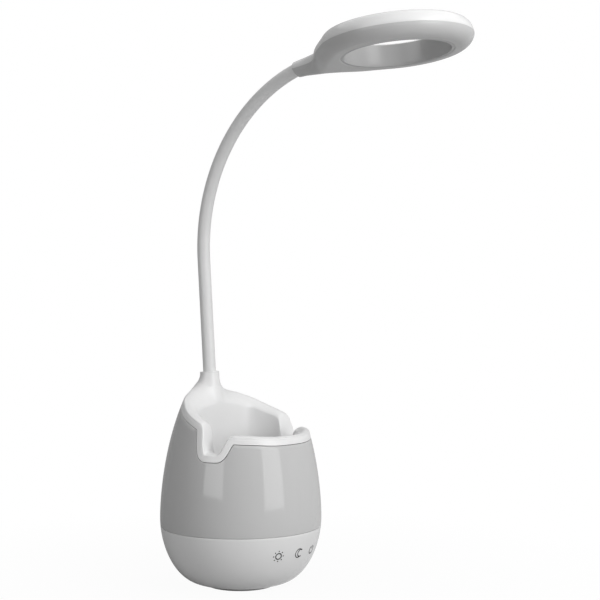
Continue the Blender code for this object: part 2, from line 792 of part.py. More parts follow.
def flare_mesh():
    """Neck collar and its flare, turned about the gooseneck's foot line."""
    top = collar_place(COLLAR_TOP_Z)
    lip = LIP_RADIUS / 4.0
    profile = [(0.0, top), (COLLAR_RADIUS - lip, top), (COLLAR_RADIUS, top - lip)]
    start = top - COLLAR_STRAIGHT
    steps = 5
    for i in range(steps + 1):
        turn = math.radians(90.0 * i / steps)
        profile.append((COLLAR_RADIUS + FLARE_RADIUS * (1.0 - math.cos(turn)),
                        start - FLARE_RADIUS * math.sin(turn)))
    bottom = start - FLARE_RADIUS - SHOULDER_DROP
    profile += [(COLLAR_RADIUS + FLARE_RADIUS, bottom), (0.0, bottom)]
    return placed(turned_mesh(profile, 32), neck_frame(0.0))


def envelope_mesh():
    """Outer space that the flare may fill.

    It is a cone from the collar to the shoulder, the egg behind the band, and the space
    inside the diffuser below that.
    """
    high = RIM_BACK_Z - LIP_RADIUS
    foot = band_foot_height(180.0)
    low = RIM_FRONT_Z
    collar_back = COLLAR_RADIUS + neck_point(collar_place(COLLAR_TOP_Z)).y
    profile = [
        (0.0, COLLAR_TOP_Z + OVERRUN), (collar_back + GAP, COLLAR_TOP_Z + OVERRUN),
        (egg_radius(high) - GAP, high), (egg_radius(foot) - GAP, foot),
        (inner_radius(foot, DIFFUSER_WALL) - 3.0 * GAP, foot),
        (inner_radius(low, DIFFUSER_WALL) - 3.0 * GAP, low), (0.0, low),
    ]
    return turned_mesh(profile, 48)


def bore_mesh():
    """Space of the cup's bore, widened above the shoulder to slope the flare's front."""
    low = RIM_FRONT_Z - BAND_HEIGHT
    edge = RIM_BACK_Z - SHOULDER_DROP
    slope_top = RIM_BACK_Z - LIP_RADIUS / 2.0
    high = COLLAR_TOP_Z + OVERRUN
    columns = []
    for angle in rim_angles():
        radius = bore_radius(angle) + LIP_RADIUS / 4.0
        wide = radius + FLARE_FRONT_REACH
        points = ((0.0, low), (radius, low), (radius, edge), (wide, slope_top),
                  (wide, high), (0.0, high))
        columns.append([ring_point(angle, reach, z) for reach, z in points])
    return loft_mesh(columns, poles=True)


def make_pen_cup():
    """Cup, wavy band, shoulder and neck collar, all one moulding."""
    columns = [cup_column(angle) for angle in rim_angles()]
    cup = add_part("pen_cup", loft_mesh(columns, poles=True), "liner_white")
    flare = add_guide("neck_flare", flare_mesh())
    combine(flare, "INTERSECT", envelope_mesh())
    combine(flare, "DIFFERENCE", bore_mesh())
    bosses = []
    boss_height = CUP_FLOOR_Z - CUP_WALL - (mood_board_bottom() + BOARD_THICKNESS + GAP)
    screw_holes = []
    for angle in screw_angles(CUP_SCREW_COUNT, CUP_SCREW_START_ANGLE):
        x, y, _ = ring_point(angle, cup_screw_circle(), 0.0)
        depth = boss_height + CUP_WALL / 2.0
        foot = mood_board_bottom() + BOARD_THICKNESS + GAP
        bosses.append(cylinder_mesh(CUP_BOSS_RADIUS, depth, (x, y, foot + depth / 2.0), 16))
        screw_holes.append(cylinder_mesh(SCREW_RADIUS + GAP, 2.0 * depth, (x, y, foot), 12))
    combine(cup, "UNION", baked_mesh(flare), *bosses)
    seat_top = collar_place(COLLAR_TOP_Z) + OVERRUN
    seat_foot = collar_place(COLLAR_TOP_Z) - NECK_SEAT_DEPTH
    seat = cylinder_mesh(SLEEVE_RADIUS + GAP, seat_top - seat_foot,
                         (0.0, 0.0, (seat_top + seat_foot) / 2.0), 20)
    drop = RIM_BACK_Z - RIM_FRONT_Z + BAND_HEIGHT
    shaft = cylinder_mesh(ferrule_radius() + GAP, 2.0 * drop, (0.0, 0.0, seat_foot), 20)
    frame = neck_frame(0.0)
    combine(cup, "DIFFERENCE", placed(seat, frame), placed(shaft, frame), *screw_holes)
    return cup


def ferrule_radius():
    return CORE_RADIUS + GAP + FERRULE_WALL


def ferrule_top():
    return collar_place(COLLAR_TOP_Z) - NECK_SEAT_DEPTH - GAP


def make_ferrule():
    """Metal socket in the cup's neck, closed round the foot of the core."""
    top = ferrule_top()
    foot = top - FERRULE_LENGTH - NUT_HEIGHT
    bore = CORE_RADIUS + GAP
    profile = [(ferrule_radius(), top), (ferrule_radius(), foot), (bore, foot), (bore, top)]
    mesh = turned_mesh(profile, 16, closed=True)
    ferrule = add_part("neck_ferrule", mesh, "steel")
    ferrule.matrix_world = neck_frame(0.0)
    return ferrule


def make_nut():
    """Hexagon nut that draws the ferrule down under the cup's shoulder."""
    top = ferrule_top() - FERRULE_LENGTH
    mesh = cylinder_mesh(NUT_RADIUS, NUT_HEIGHT - GAP,
                         (0.0, 0.0, top - NUT_HEIGHT / 2.0), 6)
    nut = add_part("neck_nut", mesh, "steel")
    nut.matrix_world = neck_frame(0.0)
    hole = cylinder_mesh(ferrule_radius() + GAP, 2.0 * NUT_HEIGHT,
                         (0.0, 0.0, top - NUT_HEIGHT / 2.0), 16)
    return combine(nut, "DIFFERENCE", placed(hole, neck_frame(0.0)))


# Gooseneck pieces

def ball_arc(centre, radius, from_radius, to_radius, steps=2):
    """Points on a sphere about the line, on its far side, between two radii."""
    first = math.asin(min(from_radius / radius, 1.0))
    last = math.asin(min(to_radius / radius, 1.0))
    points = []
    for i in range(steps + 1):
        turn = first + (last - first) * i / steps
        points.append((radius * math.sin(turn), centre + radius * math.cos(turn)))
    return points


def segment_profile(start, end, outer, inner, stations):
    """Closed profile of one gooseneck piece, running down its outer side.

    The far end is a ball about the next pivot and the near end a socket about the last
    one. Where start or end is no pivot, it is cut square.
    """
    (near, near_pivot), (far, far_pivot) = start, end
    profile = []
    if far_pivot:
        profile += ball_arc(far, SLEEVE_RADIUS, inner, outer)
    else:
        profile += [(inner, far), (outer, far)]
    low = near + OVERRUN
    high = far - OVERRUN
    heights = [high + (low - high) * i / stations for i in range(stations + 1)]
    profile += [(outer, s) for s in heights]
    if near_pivot:
        profile += ball_arc(near, SLEEVE_RADIUS + GAP, outer, inner)
    else:
        profile += [(outer, near), (inner, near)]
    profile += [(inner, s) for s in reversed(heights)]
    return profile


def neck_ends():
    places = pivot_places()
    seat = collar_place(COLLAR_TOP_Z) - NECK_SEAT_DEPTH + GAP
    stops = [(seat, False), *[(place, True) for place in places], (NECK_LENGTH, False)]
    return list(zip(stops, stops[1:]))


def make_gooseneck():
    """Ball ended sleeve pieces, each over its own length of the wound core."""
    ends = neck_ends()
    for i, (start, end) in enumerate(ends):
        straight = end[0] <= NECK_STRAIGHT
        stations = 1 if straight or not end[1] else 2
        sleeve = segment_profile(start, end, SLEEVE_RADIUS, CORE_RADIUS + 1.5 * GAP,
                                 stations)
        core_start = (ferrule_top() - FERRULE_LENGTH, False) if i == 0 else start
        core_end = (NECK_LENGTH + CLAMP_LENGTH, False) if not end[1] else end
        core = segment_profile(core_start, core_end, CORE_RADIUS, WIRE_BORE_RADIUS,
                               stations)
        sleeve_mesh = bent(turned_mesh(sleeve, SLEEVE_SIDES, closed=True))
        core_mesh = bent(turned_mesh(core, CORE_SIDES, closed=True))
        for name, mesh, finish in (("sleeve", sleeve_mesh, "sleeve_white"),
                                   ("core", core_mesh, "steel")):
            piece = add_part(f"neck_{name}_{i}", mesh, finish)
            pivot = neck_point(start[0])
            mesh.transform(Matrix.Translation(-pivot))
            piece.location = pivot


# Head pieces, built in the head's own frame

def head_pitch():
    """Angle of the head's front above level, turned down from the gooseneck's end."""
    return math.radians(90.0 - HEAD_TURN_ANGLE) - neck_heading(NECK_LENGTH)


def head_frame():
    """Matrix of the head's frame, with its origin on the hole's axis at its underside."""
    pitch = head_pitch()
    end = neck_point(NECK_LENGTH + GAP)
    middle = STEM_SECTION_SHARES[0][3] * HEAD_THICKNESS
    local_end = Vector((0.0, HEAD_REACH, middle))
    turn = Matrix.Rotation(-pitch, 4, "X")
    return Matrix.Translation(end - turn @ local_end) @ turn


def ring_section(shrink):
    """Section of the ring, drawn in by a wall's thickness."""
    width = RING_RADIUS - HOLE_RADIUS
    middle = Vector((HOLE_RADIUS + width / 2.0, HEAD_THICKNESS / 2.0))
    points = []
    for across, up in RING_SECTION_SHARES:
        point = Vector((HOLE_RADIUS + width * across, HEAD_THICKNESS * up))
        scale = Vector(((width / 2.0 - shrink) / (width / 2.0),
                        (HEAD_THICKNESS / 2.0 - shrink) / (HEAD_THICKNESS / 2.0)))
        arm = point - middle
        points.append((middle.x + arm.x * scale.x, middle.y + arm.y * scale.y))
    return points


def stem_section(place, half_width, half_height, middle, tilt, shrink):
    """Rounded section of the stem at a place, as a closed loop of points."""
    lean = math.radians(HEAD_TURN_ANGLE) * tilt
    reach = HEAD_REACH - RING_RADIUS
    y = HEAD_REACH - reach * place
    wide = RING_RADIUS * half_width - shrink
    tall = HEAD_THICKNESS * half_height - shrink
    power = 2.0 / STEM_POWER
    points = []
    for i in range(STEM_SIDES):
        turn = 2.0 * math.pi * i / STEM_SIDES
        x = math.copysign(abs(math.cos(turn)) ** power, math.cos(turn)) * wide
        z = math.copysign(abs(math.sin(turn)) ** power, math.sin(turn)) * tall
        points.append((x, y + z * math.sin(lean),
                       HEAD_THICKNESS * middle + z * math.cos(lean)))
    return points


def stem_mesh(shrink, skip_end=0.0):
    columns = [stem_section(*row, shrink) for row in STEM_SECTION_SHARES]
    if skip_end:
        columns[0] = [(x, y + skip_end, z) for x, y, z in columns[0]]
    return loft_mesh(columns, around=False)


def head_shell(name, finish):
    """Hollow ring and stem before they are parted into an upper and a lower shell."""
    outer = list(reversed(ring_section(0.0)))
    inner = list(reversed(ring_section(HEAD_WALL)))
    shell = add_part(name, turned_mesh(outer, RING_SIDES, closed=True), finish)
    combine(shell, "UNION", stem_mesh(0.0))
    cavity = add_guide(name + "_cavity", turned_mesh(inner, RING_SIDES, closed=True))
    combine(cavity, "UNION", stem_mesh(HEAD_WALL, skip_end=-HEAD_WALL))
    combine(shell, "DIFFERENCE", baked_mesh(cavity))
    return shell


def parting_mesh(height, radius):
    """Ring below the parting height and outside the hole's wall."""
    outer = HEAD_REACH + OVERRUN
    profile = [(outer, height), (outer, -OVERRUN), (radius, -OVERRUN), (radius, height)]
    return turned_mesh(profile, RING_SIDES, closed=True)


def make_head_shells():
    height = HEAD_THICKNESS * PARTING_SHARE
    wall = HOLE_RADIUS + INNER_WALL
    passage = cylinder_mesh(
        CORE_RADIUS + 2.0 * GAP, 3.0 * HEAD_WALL,
        (0.0, HEAD_REACH, STEM_SECTION_SHARES[0][3] * HEAD_THICKNESS), 18, axis="Y",
    )
    top = head_shell("head_top", "gloss_white")
    combine(top, "DIFFERENCE", passage.copy(), parting_mesh(height + GAP / 2.0, wall))
    lens = head_shell("head_lens", "lens_white")
    combine(lens, "DIFFERENCE", passage)
    combine(lens, "INTERSECT", parting_mesh(height - GAP / 2.0, wall + GAP))
    for shell in (top, lens):
        shell.matrix_world = head_frame()
        for modifier in shell.modifiers:
            modifier.object.matrix_world = head_frame()


def head_board_foot():
    return HEAD_THICKNESS - 2.0 * (HEAD_WALL + GAP) - HEAD_BOARD_THICKNESS


def make_head_board():
    foot = head_board_foot()
    top = foot + HEAD_BOARD_THICKNESS
    profile = [(HEAD_BOARD_OUTER, top), (HEAD_BOARD_OUTER, foot),
               (HEAD_BOARD_INNER, foot), (HEAD_BOARD_INNER, top)]
    board = add_part("head_board", turned_mesh(profile, 40, closed=True), "board_green")
    board.matrix_world = head_frame()
    return board


def make_head_leds():
    circle = (HEAD_BOARD_INNER + HEAD_BOARD_OUTER) / 2.0
    z = head_board_foot() - GAP - HEAD_LED_HEIGHT / 2.0
    for i in range(HEAD_LED_COUNT):
        angle = 360.0 * (i + 0.5) / HEAD_LED_COUNT
        size = (HEAD_LED_SIZE, HEAD_LED_SIZE, HEAD_LED_HEIGHT)
        led = add_part(f"head_led_{i + 1}", box_mesh(size, (0.0, 0.0, 0.0)), "led_yellow")
        place = Matrix.Translation(ring_point(angle, circle, z))
        led.matrix_world = (
            head_frame() @ place @ Matrix.Rotation(math.radians(angle), 4, "Z")
        )


def make_head_clamp():
    """Metal collar inside the stem, closed round the end of the core."""
    start = NECK_LENGTH + GAP + HEAD_WALL + 2.0 * GAP
    bore = CORE_RADIUS + GAP
    outer = bore + CLAMP_WALL
    length = CLAMP_LENGTH - HEAD_WALL
    profile = [(outer, start + length), (outer, start), (bore, start),
               (bore, start + length)]
    return add_part("head_clamp", bent(turned_mesh(profile, 12, closed=True)), "steel")


def build_lamp():
    make_bowl()
    make_foot()
    make_cover()
    make_cover_screws()
    make_ballast()
    make_battery()
    make_tray()
    make_main_board()
    make_socket()
    make_touch_pads()
    make_touch_strip()
    make_mood_board()
    make_mood_leds()
    make_diffuser()
    make_pen_cup()
    make_cup_screws()
    make_ferrule()
    make_nut()
    make_gooseneck()
    make_head_shells()
    make_head_board()
    make_head_leds()
    make_head_clamp()


clear_scene()
parts = new_collection("desk_lamp_with_pen_holder")
guides = new_collection("cutters_and_guides")
build_lamp()
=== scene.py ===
"""Desk lamp with a pen holder, an egg shaped base and a ring head.

The lamp stands at the origin with +Z up and its front facing -Y. Sizes are in metres.
Angles round the base start at the front and grow towards +X.
"""

from math import (atan2, ceil, cos, degrees, exp, hypot, pi, radians, sin, sqrt, tan)

import bmesh
import bpy
from bpy.props import FloatProperty, FloatVectorProperty, PointerProperty
from bpy.types import Operator, Panel, PropertyGroup
from mathutils import Matrix, Vector


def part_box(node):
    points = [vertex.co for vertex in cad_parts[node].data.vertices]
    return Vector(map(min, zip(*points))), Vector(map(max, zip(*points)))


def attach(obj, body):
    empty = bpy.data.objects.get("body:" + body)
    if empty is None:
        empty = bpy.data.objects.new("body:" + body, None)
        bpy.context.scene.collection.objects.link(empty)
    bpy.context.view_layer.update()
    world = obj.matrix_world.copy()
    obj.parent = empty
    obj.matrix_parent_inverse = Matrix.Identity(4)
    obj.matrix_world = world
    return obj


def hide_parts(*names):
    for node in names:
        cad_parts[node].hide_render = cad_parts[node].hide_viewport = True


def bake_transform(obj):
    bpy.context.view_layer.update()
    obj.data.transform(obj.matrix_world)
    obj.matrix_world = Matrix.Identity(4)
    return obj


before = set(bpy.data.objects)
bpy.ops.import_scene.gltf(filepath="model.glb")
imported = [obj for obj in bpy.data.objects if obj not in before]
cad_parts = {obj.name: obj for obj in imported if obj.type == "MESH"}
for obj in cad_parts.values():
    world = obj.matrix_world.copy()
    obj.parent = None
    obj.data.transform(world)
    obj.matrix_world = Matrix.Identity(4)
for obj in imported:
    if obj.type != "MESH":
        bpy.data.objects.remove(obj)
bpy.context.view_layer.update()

bl_info = {
    "name": "Desk lamp with pen holder",
    "version": (1, 0, 0),
    "blender": (4, 5, 0),
    "location": "3D View > Sidebar > Desk Lamp",
    "description": "Builds the surfaces, finishes and studio of a desk lamp with a pen holder",
    "category": "Object",
}

MM = 0.001

# Shape of the egg's line above and below its waist
UPPER_POWER = 1.8
LOWER_POWER = 1.85

# Rim line, as angles from the front and shares of the rise from front to back
RIM_RISE_SHARES = (
    (0.0, 0.0), (20.0, 0.0), (40.0, 0.045), (57.0, 0.06), (80.0, 0.28), (86.0, 0.38),
    (94.0, 0.46), (105.0, 0.57), (118.0, 0.735), (138.0, 0.92), (158.0, 0.99), (180.0, 1.0),
)
# Fall of the shoulder towards the bore, as angles from the front and shares of its most
SHOULDER_DROP_SHARES = (
    (0.0, 0.0), (88.0, 0.0), (94.0, 0.08), (111.0, 0.35), (130.0, 0.82), (145.0, 0.94),
    (180.0, 1.0),
)
# Angles between which each notch falls and rises again, and the width of the bell curves
# that blur the rim and the notches, all in degrees
NOTCH_FRONT_ANGLES = (55.8, 66.6)
NOTCH_BACK_ANGLES = (77.3, 82.3)
RIM_BLUR = 5.0
NOTCH_BLUR = 1.0
TABLE_STEP = 0.25
NOTCH_ROUNDING = 6.5 * MM

# Columns are closest together between these angles, round the notches
NOTCH_SPAN = (52.0, 92.0)

# How squarely the bore's round meets its flat back
BORE_CORNER_POWER = 8.0
# Hole in the bowl's floor, which the screwed cover closes
COVER_HOLE_RADIUS = 22.3 * MM
# Corner of a bar with round ends, as a share of its half height
ROUND_SHARE = 0.98

# Columns round the collar and round the gooseneck
COLLAR_SIDES = 96
SLEEVE_SIDES = 40
# Gooseneck pivots along its length, the last one measured back from its end
FIRST_PIVOT = 17.0 * MM
LAST_PIVOT_BACK = 14.0 * MM
NECK_BODIES = ("base", "neck_1", "neck_2", "neck_3", "neck_4", "neck_5", "neck_6", "head")

# Half outline of the head in plan, as distance behind the hole's axis and half width
STEM_OUTLINE = (
    (82.4, 5.445), (79.5, 5.46), (76.5, 5.54), (73.2, 5.88), (69.9, 6.53), (66.9, 7.40),
    (64.0, 8.66), (61.3, 10.45), (58.7, 12.70), (56.4, 15.00), (54.1, 17.50), (51.8, 20.10),
    (49.5, 22.60), (46.6, 25.40), (43.6, 27.95), (40.5, 30.55), (37.3, 33.15), (34.5, 35.50),
)
# Height of the head above and below its parting line, as places from the stem's end to
# the ring's axis and shares of the thickness
STEM_RISE_SHARES = (
    (0.0, 0.30), (0.18, 0.345), (0.38, 0.385), (0.56, 0.42), (0.72, 0.45), (0.86, 0.48),
    (1.0, 0.505), (1.12, 0.52),
)
STEM_FALL_SHARES = (
    (0.0, 0.345), (0.18, 0.36), (0.38, 0.40), (0.56, 0.44), (0.72, 0.455), (0.86, 0.465),
    (1.0, 0.475), (1.12, 0.48),
)
# Distances behind the hole's axis over which the ring's shape gives way to the stem's
STEM_BLEND = (34.0 * MM, 60.0 * MM)
# Height of the gooseneck's end in the stem, as a share of the thickness
STEM_MIDDLE_SHARE = 0.47


def linear(code):
    """Turn an sRGB hex code into linear red, green and blue."""
    shares = [int(code[i:i + 2], 16) / 255.0 for i in (0, 2, 4)]
    return tuple(c / 12.92 if c <= 0.04045 else ((c + 0.055) / 1.055) ** 2.4 for c in shares)


def per_mm(size):
    """Texture scale at which one feature measures that many millimetres."""
    return 1.0 / (size * MM)


# Settings: lengths in millimetres, rotations in degrees and colours as sRGB codes

def length(text, value):
    return FloatProperty(description=text, default=value * MM, min=0.0, precision=5,
                         unit="LENGTH")


def rotation(text, value):
    return FloatProperty(description=text, default=radians(value), subtype="ANGLE")


def number(text, value, least=0.0, **more):
    return FloatProperty(description=text, default=value, min=least, **more)


def colour(text, code):
    return FloatVectorProperty(description=text, default=linear(code), size=3, min=0.0,
                               max=1.0, subtype="COLOR")


class LampBaseSettings(PropertyGroup):
    """Sizes of the egg shaped base."""

    waist_radius: length("Largest radius of the base", 56.0)
    waist_height: length("Height of the largest radius", 47.0)
    bottom_radius: length("Radius of the bowl's flat bottom", 28.0)
    bottom_height: length("Height of the bowl over the table", 2.5)
    back_radius: length("Radius of the egg at the rim's back", 37.61)
    seam_height: length("Height of the seam over the bowl", 41.2)
    seam_gap: length("Gap between the bowl and the diffuser", 0.1)
    band_gap: length("Gap between the diffuser and the rim's band", 0.3)
    bowl_wall: length("Thickness of the bowl", 2.4)
    diffuser_wall: length("Thickness of the milky shell", 2.0)
    foot_radius: length("Radius of the rubber foot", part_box("foot_pad")[1][0] / MM)
    mark_height: length("Height of the three touch marks", 28.0)


class LampCupSettings(PropertyGroup):
    """Sizes of the pen cup and its wavy rim."""

    front_height: length("Height of the rim at the front", 105.6)
    back_height: length("Height of the rim at the back", 133.0)
    notch_height: length("Height of the phone notch's floor", 95.2)
    band_height: length("Height of the rim's outer band", 4.8)
    lip_radius: length("Rounding of the rim's outer edge", 0.9)
    edge_radius: length("Rounding of the edge over the bore", 2.8)
    shoulder_drop: length("Fall of the shoulder towards the bore", 6.5)
    floor_height: length("Height of the cup's floor", 46.6)
    wall: length("Thickness of the cup", 2.0)
    rim_width: length("Width of the rim at the front", 6.6)
    bore_shift: length("Shift of the bore towards the front", 6.0)
    bore_back: length("Distance from the axis to the bore's flat back", 19.51)
    collar_radius: length("Radius of the collar round the neck", 6.7)
    collar_height: length("Height of the collar's top", 146.4)
    flare_start: length("Height where the curve leaves the collar", 145.5)
    flare_reach: length("Reach of the curve beside the collar", 17.0)
    front_reach: length("Reach of the curve before the collar", 4.2)


class LampNeckSettings(PropertyGroup):
    """Sizes of the gooseneck."""

    foot_back: length("Distance of the neck's foot behind the axis", 30.01)
    foot_height: length("Height of the neck's foot", 148.8)
    lean: rotation("Backward lean of the straight run", 4.0)
    straight: length("Length of the straight run", 77.4)
    arc_radius: length("Radius of the forward bend", 123.9)
    reach: length("Length of the neck from its foot to the head", 242.4)
    sleeve_radius: length("Outer radius of the silicone sleeve", 4.5)
    sleeve_bore: length("Inner radius of the silicone sleeve", 2.85)


class LampHeadSettings(PropertyGroup):
    """Sizes of the ring head."""

    hole_radius: length("Radius of the open middle", 34.4)
    ring_radius: length("Outer radius of the ring", 49.5)
    thickness: length("Height of the ring", 16.4)
    wall: length("Thickness of both shells", 1.4)
    parting: number("Height of the parting line as a share of the thickness", 0.48,
                    least=0.1, max=0.9)
    reach: length("Distance from the hole's axis to the stem's end", 82.4)
    turn: rotation("Angle between the neck's end and the stem", 10.9)


class LampColourSettings(PropertyGroup):
    """Colours of the finishes."""

    abs_white: colour("Glossy moulded head", "dedede")
    bowl_white: colour("Glossy moulded bowl", "dadada")
    liner_white: colour("Pen cup and rim", "e0e0e0")
    opal_grey: colour("Milky diffuser", "bcbcbc")
    silicone: colour("Gooseneck sleeve", "d8d8d8")
    lens: colour("Milky cover under the ring", "bcbcbc")
    # Painted shade: the hole's wall is a darker grey than the white shell, standing in for the
    # shade inside the hole
    hole: colour("Shaded wall of the ring's hole", "a9a9a9")
    rubber: colour("Anti-slip foot", "b4b4b4")
    ink: colour("Printed touch marks", "2e2e2f")
    steel: colour("Zinc plated screws and weight", "a9abae")
    laminate: colour("Green circuit boards", "1f5a3a")
    sleeve_blue: colour("Shrink sleeve of the cell", "233a78")
    tray: colour("Black battery tray", "1b1b1c")
    phosphor: colour("Light emitting chips", "e8cf62")
    gold: colour("Contacts in the charging socket", "d9b25f")


class LampStageSettings(PropertyGroup):
    """Studio round the lamp."""

    floor: colour("Grey studio floor under the white", "b8b8b8")
    key: number("Power of the tall softbox on the right", 10.0, unit="POWER")
    fill: number("Power of the softbox on the left", 1.4, unit="POWER")
    top: number("Power of the softbox overhead", 2.6, unit="POWER")
    room: number("Strength of the plain room light", 0.42)
    distance: length("Distance from the camera to the base's axis", 970.5)
    lens: number("Focal length in millimetres", 83.7, least=10.0)


def settings(*names):
    """The groups of settings of those names, as the scene holds them."""
    groups = [getattr(bpy.context.scene, "lamp_" + name) for name in names]
    return groups if len(groups) > 1 else groups[0]


# Mesh tools

def smoothstep(low, high, value):
    share = min(max((value - low) / (high - low), 0.0), 1.0)
    return share * share * (3.0 - 2.0 * share)


def share_at(table, place):
    """Read a table of (place, share) in straight runs between neighbours."""
    for (place_a, share_a), (place_b, share_b) in zip(table, table[1:]):
        if place <= place_b:
            step = (place - place_a) / (place_b - place_a)
            return share_a + (share_b - share_a) * max(step, 0.0)
    return table[-1][1]


def spaced(first, last, steps):
    """Values in even steps from one to another, with both ends."""
    return [first + (last - first) * i / steps for i in range(steps + 1)]


def ring_point(angle, radius, z):
    turn = radians(angle)
    return (radius * sin(turn), -radius * cos(turn), z)


def piece_from(name, points, faces, material, sharp=38.0):
    """Make a piece of smooth faces, with its near points joined and its faces outward."""
    mesh = bpy.data.meshes.new(name)
    mesh.from_pydata(points, [], faces)
    bm = bmesh.new()
    bm.from_mesh(mesh)
    bmesh.ops.remove_doubles(bm, verts=bm.verts, dist=0.00001)
    bmesh.ops.dissolve_degenerate(bm, edges=bm.edges, dist=0.000005)
    bmesh.ops.recalc_face_normals(bm, faces=bm.faces)
    bm.to_mesh(mesh)
    bm.free()
    mesh.materials.append(material)
    mesh.shade_smooth()
    mesh.set_sharp_from_angle(angle=radians(sharp))
    obj = bpy.data.objects.new(name, mesh)
    bpy.context.scene.collection.objects.link(obj)
    return obj


def lofted(columns, around=True, closed=True):
    """Points and quads between columns of equal length."""
    rows = len(columns[0])
    points = [point for column in columns for point in column]
    faces = []
    for i in range(len(columns) if around else len(columns) - 1):
        here, there = i * rows, (i + 1) % len(columns) * rows
        for j in range(rows if closed else rows - 1):
            k = (j + 1) % rows
            faces.append((here + j, there + j, there + k, here + k))
    return points, faces


def turned(profile, sides):
    """Columns of a (radius, z) profile turned about the base's axis."""
    return [[ring_point(360.0 * i / sides, r, z) for r, z in profile] for i in range(sides)]


def turns(sides):
    """Even turns right round, in radians."""
    return [2.0 * pi * i / sides for i in range(sides)]


def capped_strips(strips):
    """Points and faces of solid strips, each made of four cornered sections."""
    points, faces = [], []
    for strip in strips:
        more, sides = lofted(strip, around=False)
        ends = [(0, 1, 2, 3), tuple(range(len(more) - 4, len(more)))]
        faces += [tuple(len(points) + k for k in face) for face in sides + ends]
        points += more
    return points, faces


def arc(centre, radius, first, last, steps):
    """Points on an arc from one angle to another, in degrees from level."""
    return [(centre[0] + radius * cos(turn), centre[1] + radius * sin(turn))
            for turn in map(radians, spaced(first, last, steps))]


def joined(name, *objs):
    """Join pieces of one finish into the first, under a new name."""
    with bpy.context.temp_override(active_object=objs[0], selected_editable_objects=objs):
        bpy.ops.object.join()
    objs[0].name = name
    objs[0].data.name = name
    return objs[0]


def applied(obj):
    """Replace a piece's mesh by the result of its modifiers."""
    depsgraph = bpy.context.evaluated_depsgraph_get()
    mesh = bpy.data.meshes.new_from_object(obj.evaluated_get(depsgraph))
    obj.modifiers.clear()
    obj.data = mesh
    return obj


def cut_out(obj, tool):
    """Cut a tool's shape out of a piece and remove the tool."""
    modifier = obj.modifiers.new("Cut", "BOOLEAN")
    modifier.solver = "EXACT"
    modifier.object = tool
    applied(obj)
    bpy.data.objects.remove(tool, do_unlink=True)
    return obj


def dressed(obj, body, slot, *nodes):
    """Let a piece ride on a body, in place of the CAD nodes it stands for."""
    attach(obj, body)
    if nodes:
        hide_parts(*nodes)
    return obj


# Finishes

def add_node(tree, kind, values=(), links=()):
    """Add a shader node, then set its properties and inputs and link sockets into it."""
    node = tree.nodes.new("ShaderNode" + kind)
    for key, value in dict(values).items():
        if isinstance(key, int) or key in node.inputs:
            node.inputs[key].default_value = value
        else:
            setattr(node, key, value)
    for key, source in dict(links).items():
        tree.links.new(source, node.inputs[key])
    return node


def new_finish(name, values):
    """Make a material with one Principled shader, and return it with its tree."""
    material = bpy.data.materials.new(name)
    material.use_nodes = True
    tree = material.node_tree
    shader = tree.nodes["Principled BSDF"]
    for key, value in values.items():
        shader.inputs[key].default_value = value
    return material, tree, shader


def shade(tint, factor=1.0):
    """A colour made lighter or darker by a factor."""
    return (*(min(c * factor, 1.0) for c in tint), 1.0)


# What each finish gives its shader, the factors on its colour, its range of roughness,
# and in millimetres the size of its patches, the size of its grain and the grain's depth
FINISHES = {
    # Polished mould: clear reflections, bent a little by a soft surface wave
    "glossy_moulded_abs": ({"IOR": 1.54}, (1.0, 0.965), (0.13, 0.19), 22.0, 2.2, 0.006),
    # Finely ground mould: bright white with a wide soft highlight
    "satin_moulded_abs": ({"IOR": 1.54}, (1.0, 0.97), (0.28, 0.34), 18.0, 4.0, 0.008),
    # A deep even grey white under a hard wet looking gloss
    "opal_moulded_polycarbonate": (
        {"IOR": 1.585, "Coat Weight": 0.35, "Coat Roughness": 0.04},
        (1.0, 0.975), (0.06, 0.10), 30.0, 3.0, 0.002),
    # Smooth and glossy, with a faint cloud of filler
    "opal_acrylic_cover": ({"IOR": 1.49}, (1.0, 0.96), (0.14, 0.20), 12.0, 1.6, 0.004),
    # Soft satin sheen, and the soft wave of a drawn rubber skin
    "extruded_silicone": (
        {"IOR": 1.41, "Sheen Weight": 0.12, "Sheen Roughness": 0.5},
        (1.0, 0.96), (0.37, 0.43), 9.0, 2.5, 0.006),
    # Matt, with a fine grip grain
    "moulded_soft_rubber": ({"IOR": 1.5}, (1.0, 0.86), (0.72, 0.86), 5.0, 0.3, 0.05),
    # Thin and flat, a little uneven where the pad lifted
    "pad_printed_ink": ({"IOR": 1.5}, (1.0, 0.82), (0.45, 0.6), 0.8, 0.2, 0.004),
    # Bright but soft, with a fine spangle
    "zinc_plated_steel": ({"Metallic": 1.0}, (1.0, 0.8), (0.28, 0.42), 3.0, 0.25, 0.01),
    # Dark wire under a film of oil
    "wound_spring_steel": ({"Metallic": 1.0}, (0.8, 0.55), (0.3, 0.45), 3.0, 0.3, 0.01),
    # Glass laminate under a clear coat of green lacquer
    "lacquered_glass_laminate": (
        {"IOR": 1.55, "Coat Weight": 0.4, "Coat Roughness": 0.2},
        (1.0, 0.7), (0.35, 0.5), 4.0, 0.5, 0.01),
    # Thin glossy film, drawn into faint wrinkles round the cell
    "pvc_shrink_sleeve": ({"IOR": 1.53}, (1.0, 0.8), (0.2, 0.32), 8.0, 2.5, 0.05),
    # Glass filled and dull, with a mottled skin
    "moulded_black_nylon": ({"IOR": 1.53}, (1.0, 1.7), (0.5, 0.65), 3.0, 0.4, 0.03),
    # Yellow and cloudy under a smooth cast face
    "cast_phosphor_resin": ({"IOR": 1.5}, (1.0, 0.8), (0.25, 0.4), 0.8, 0.15, 0.01),
    # Warm soft metal with fine wiping marks
    "gold_plated_contact": ({"Metallic": 1.0}, (1.0, 0.85), (0.22, 0.3), 1.0, 0.2, 0.005),
}


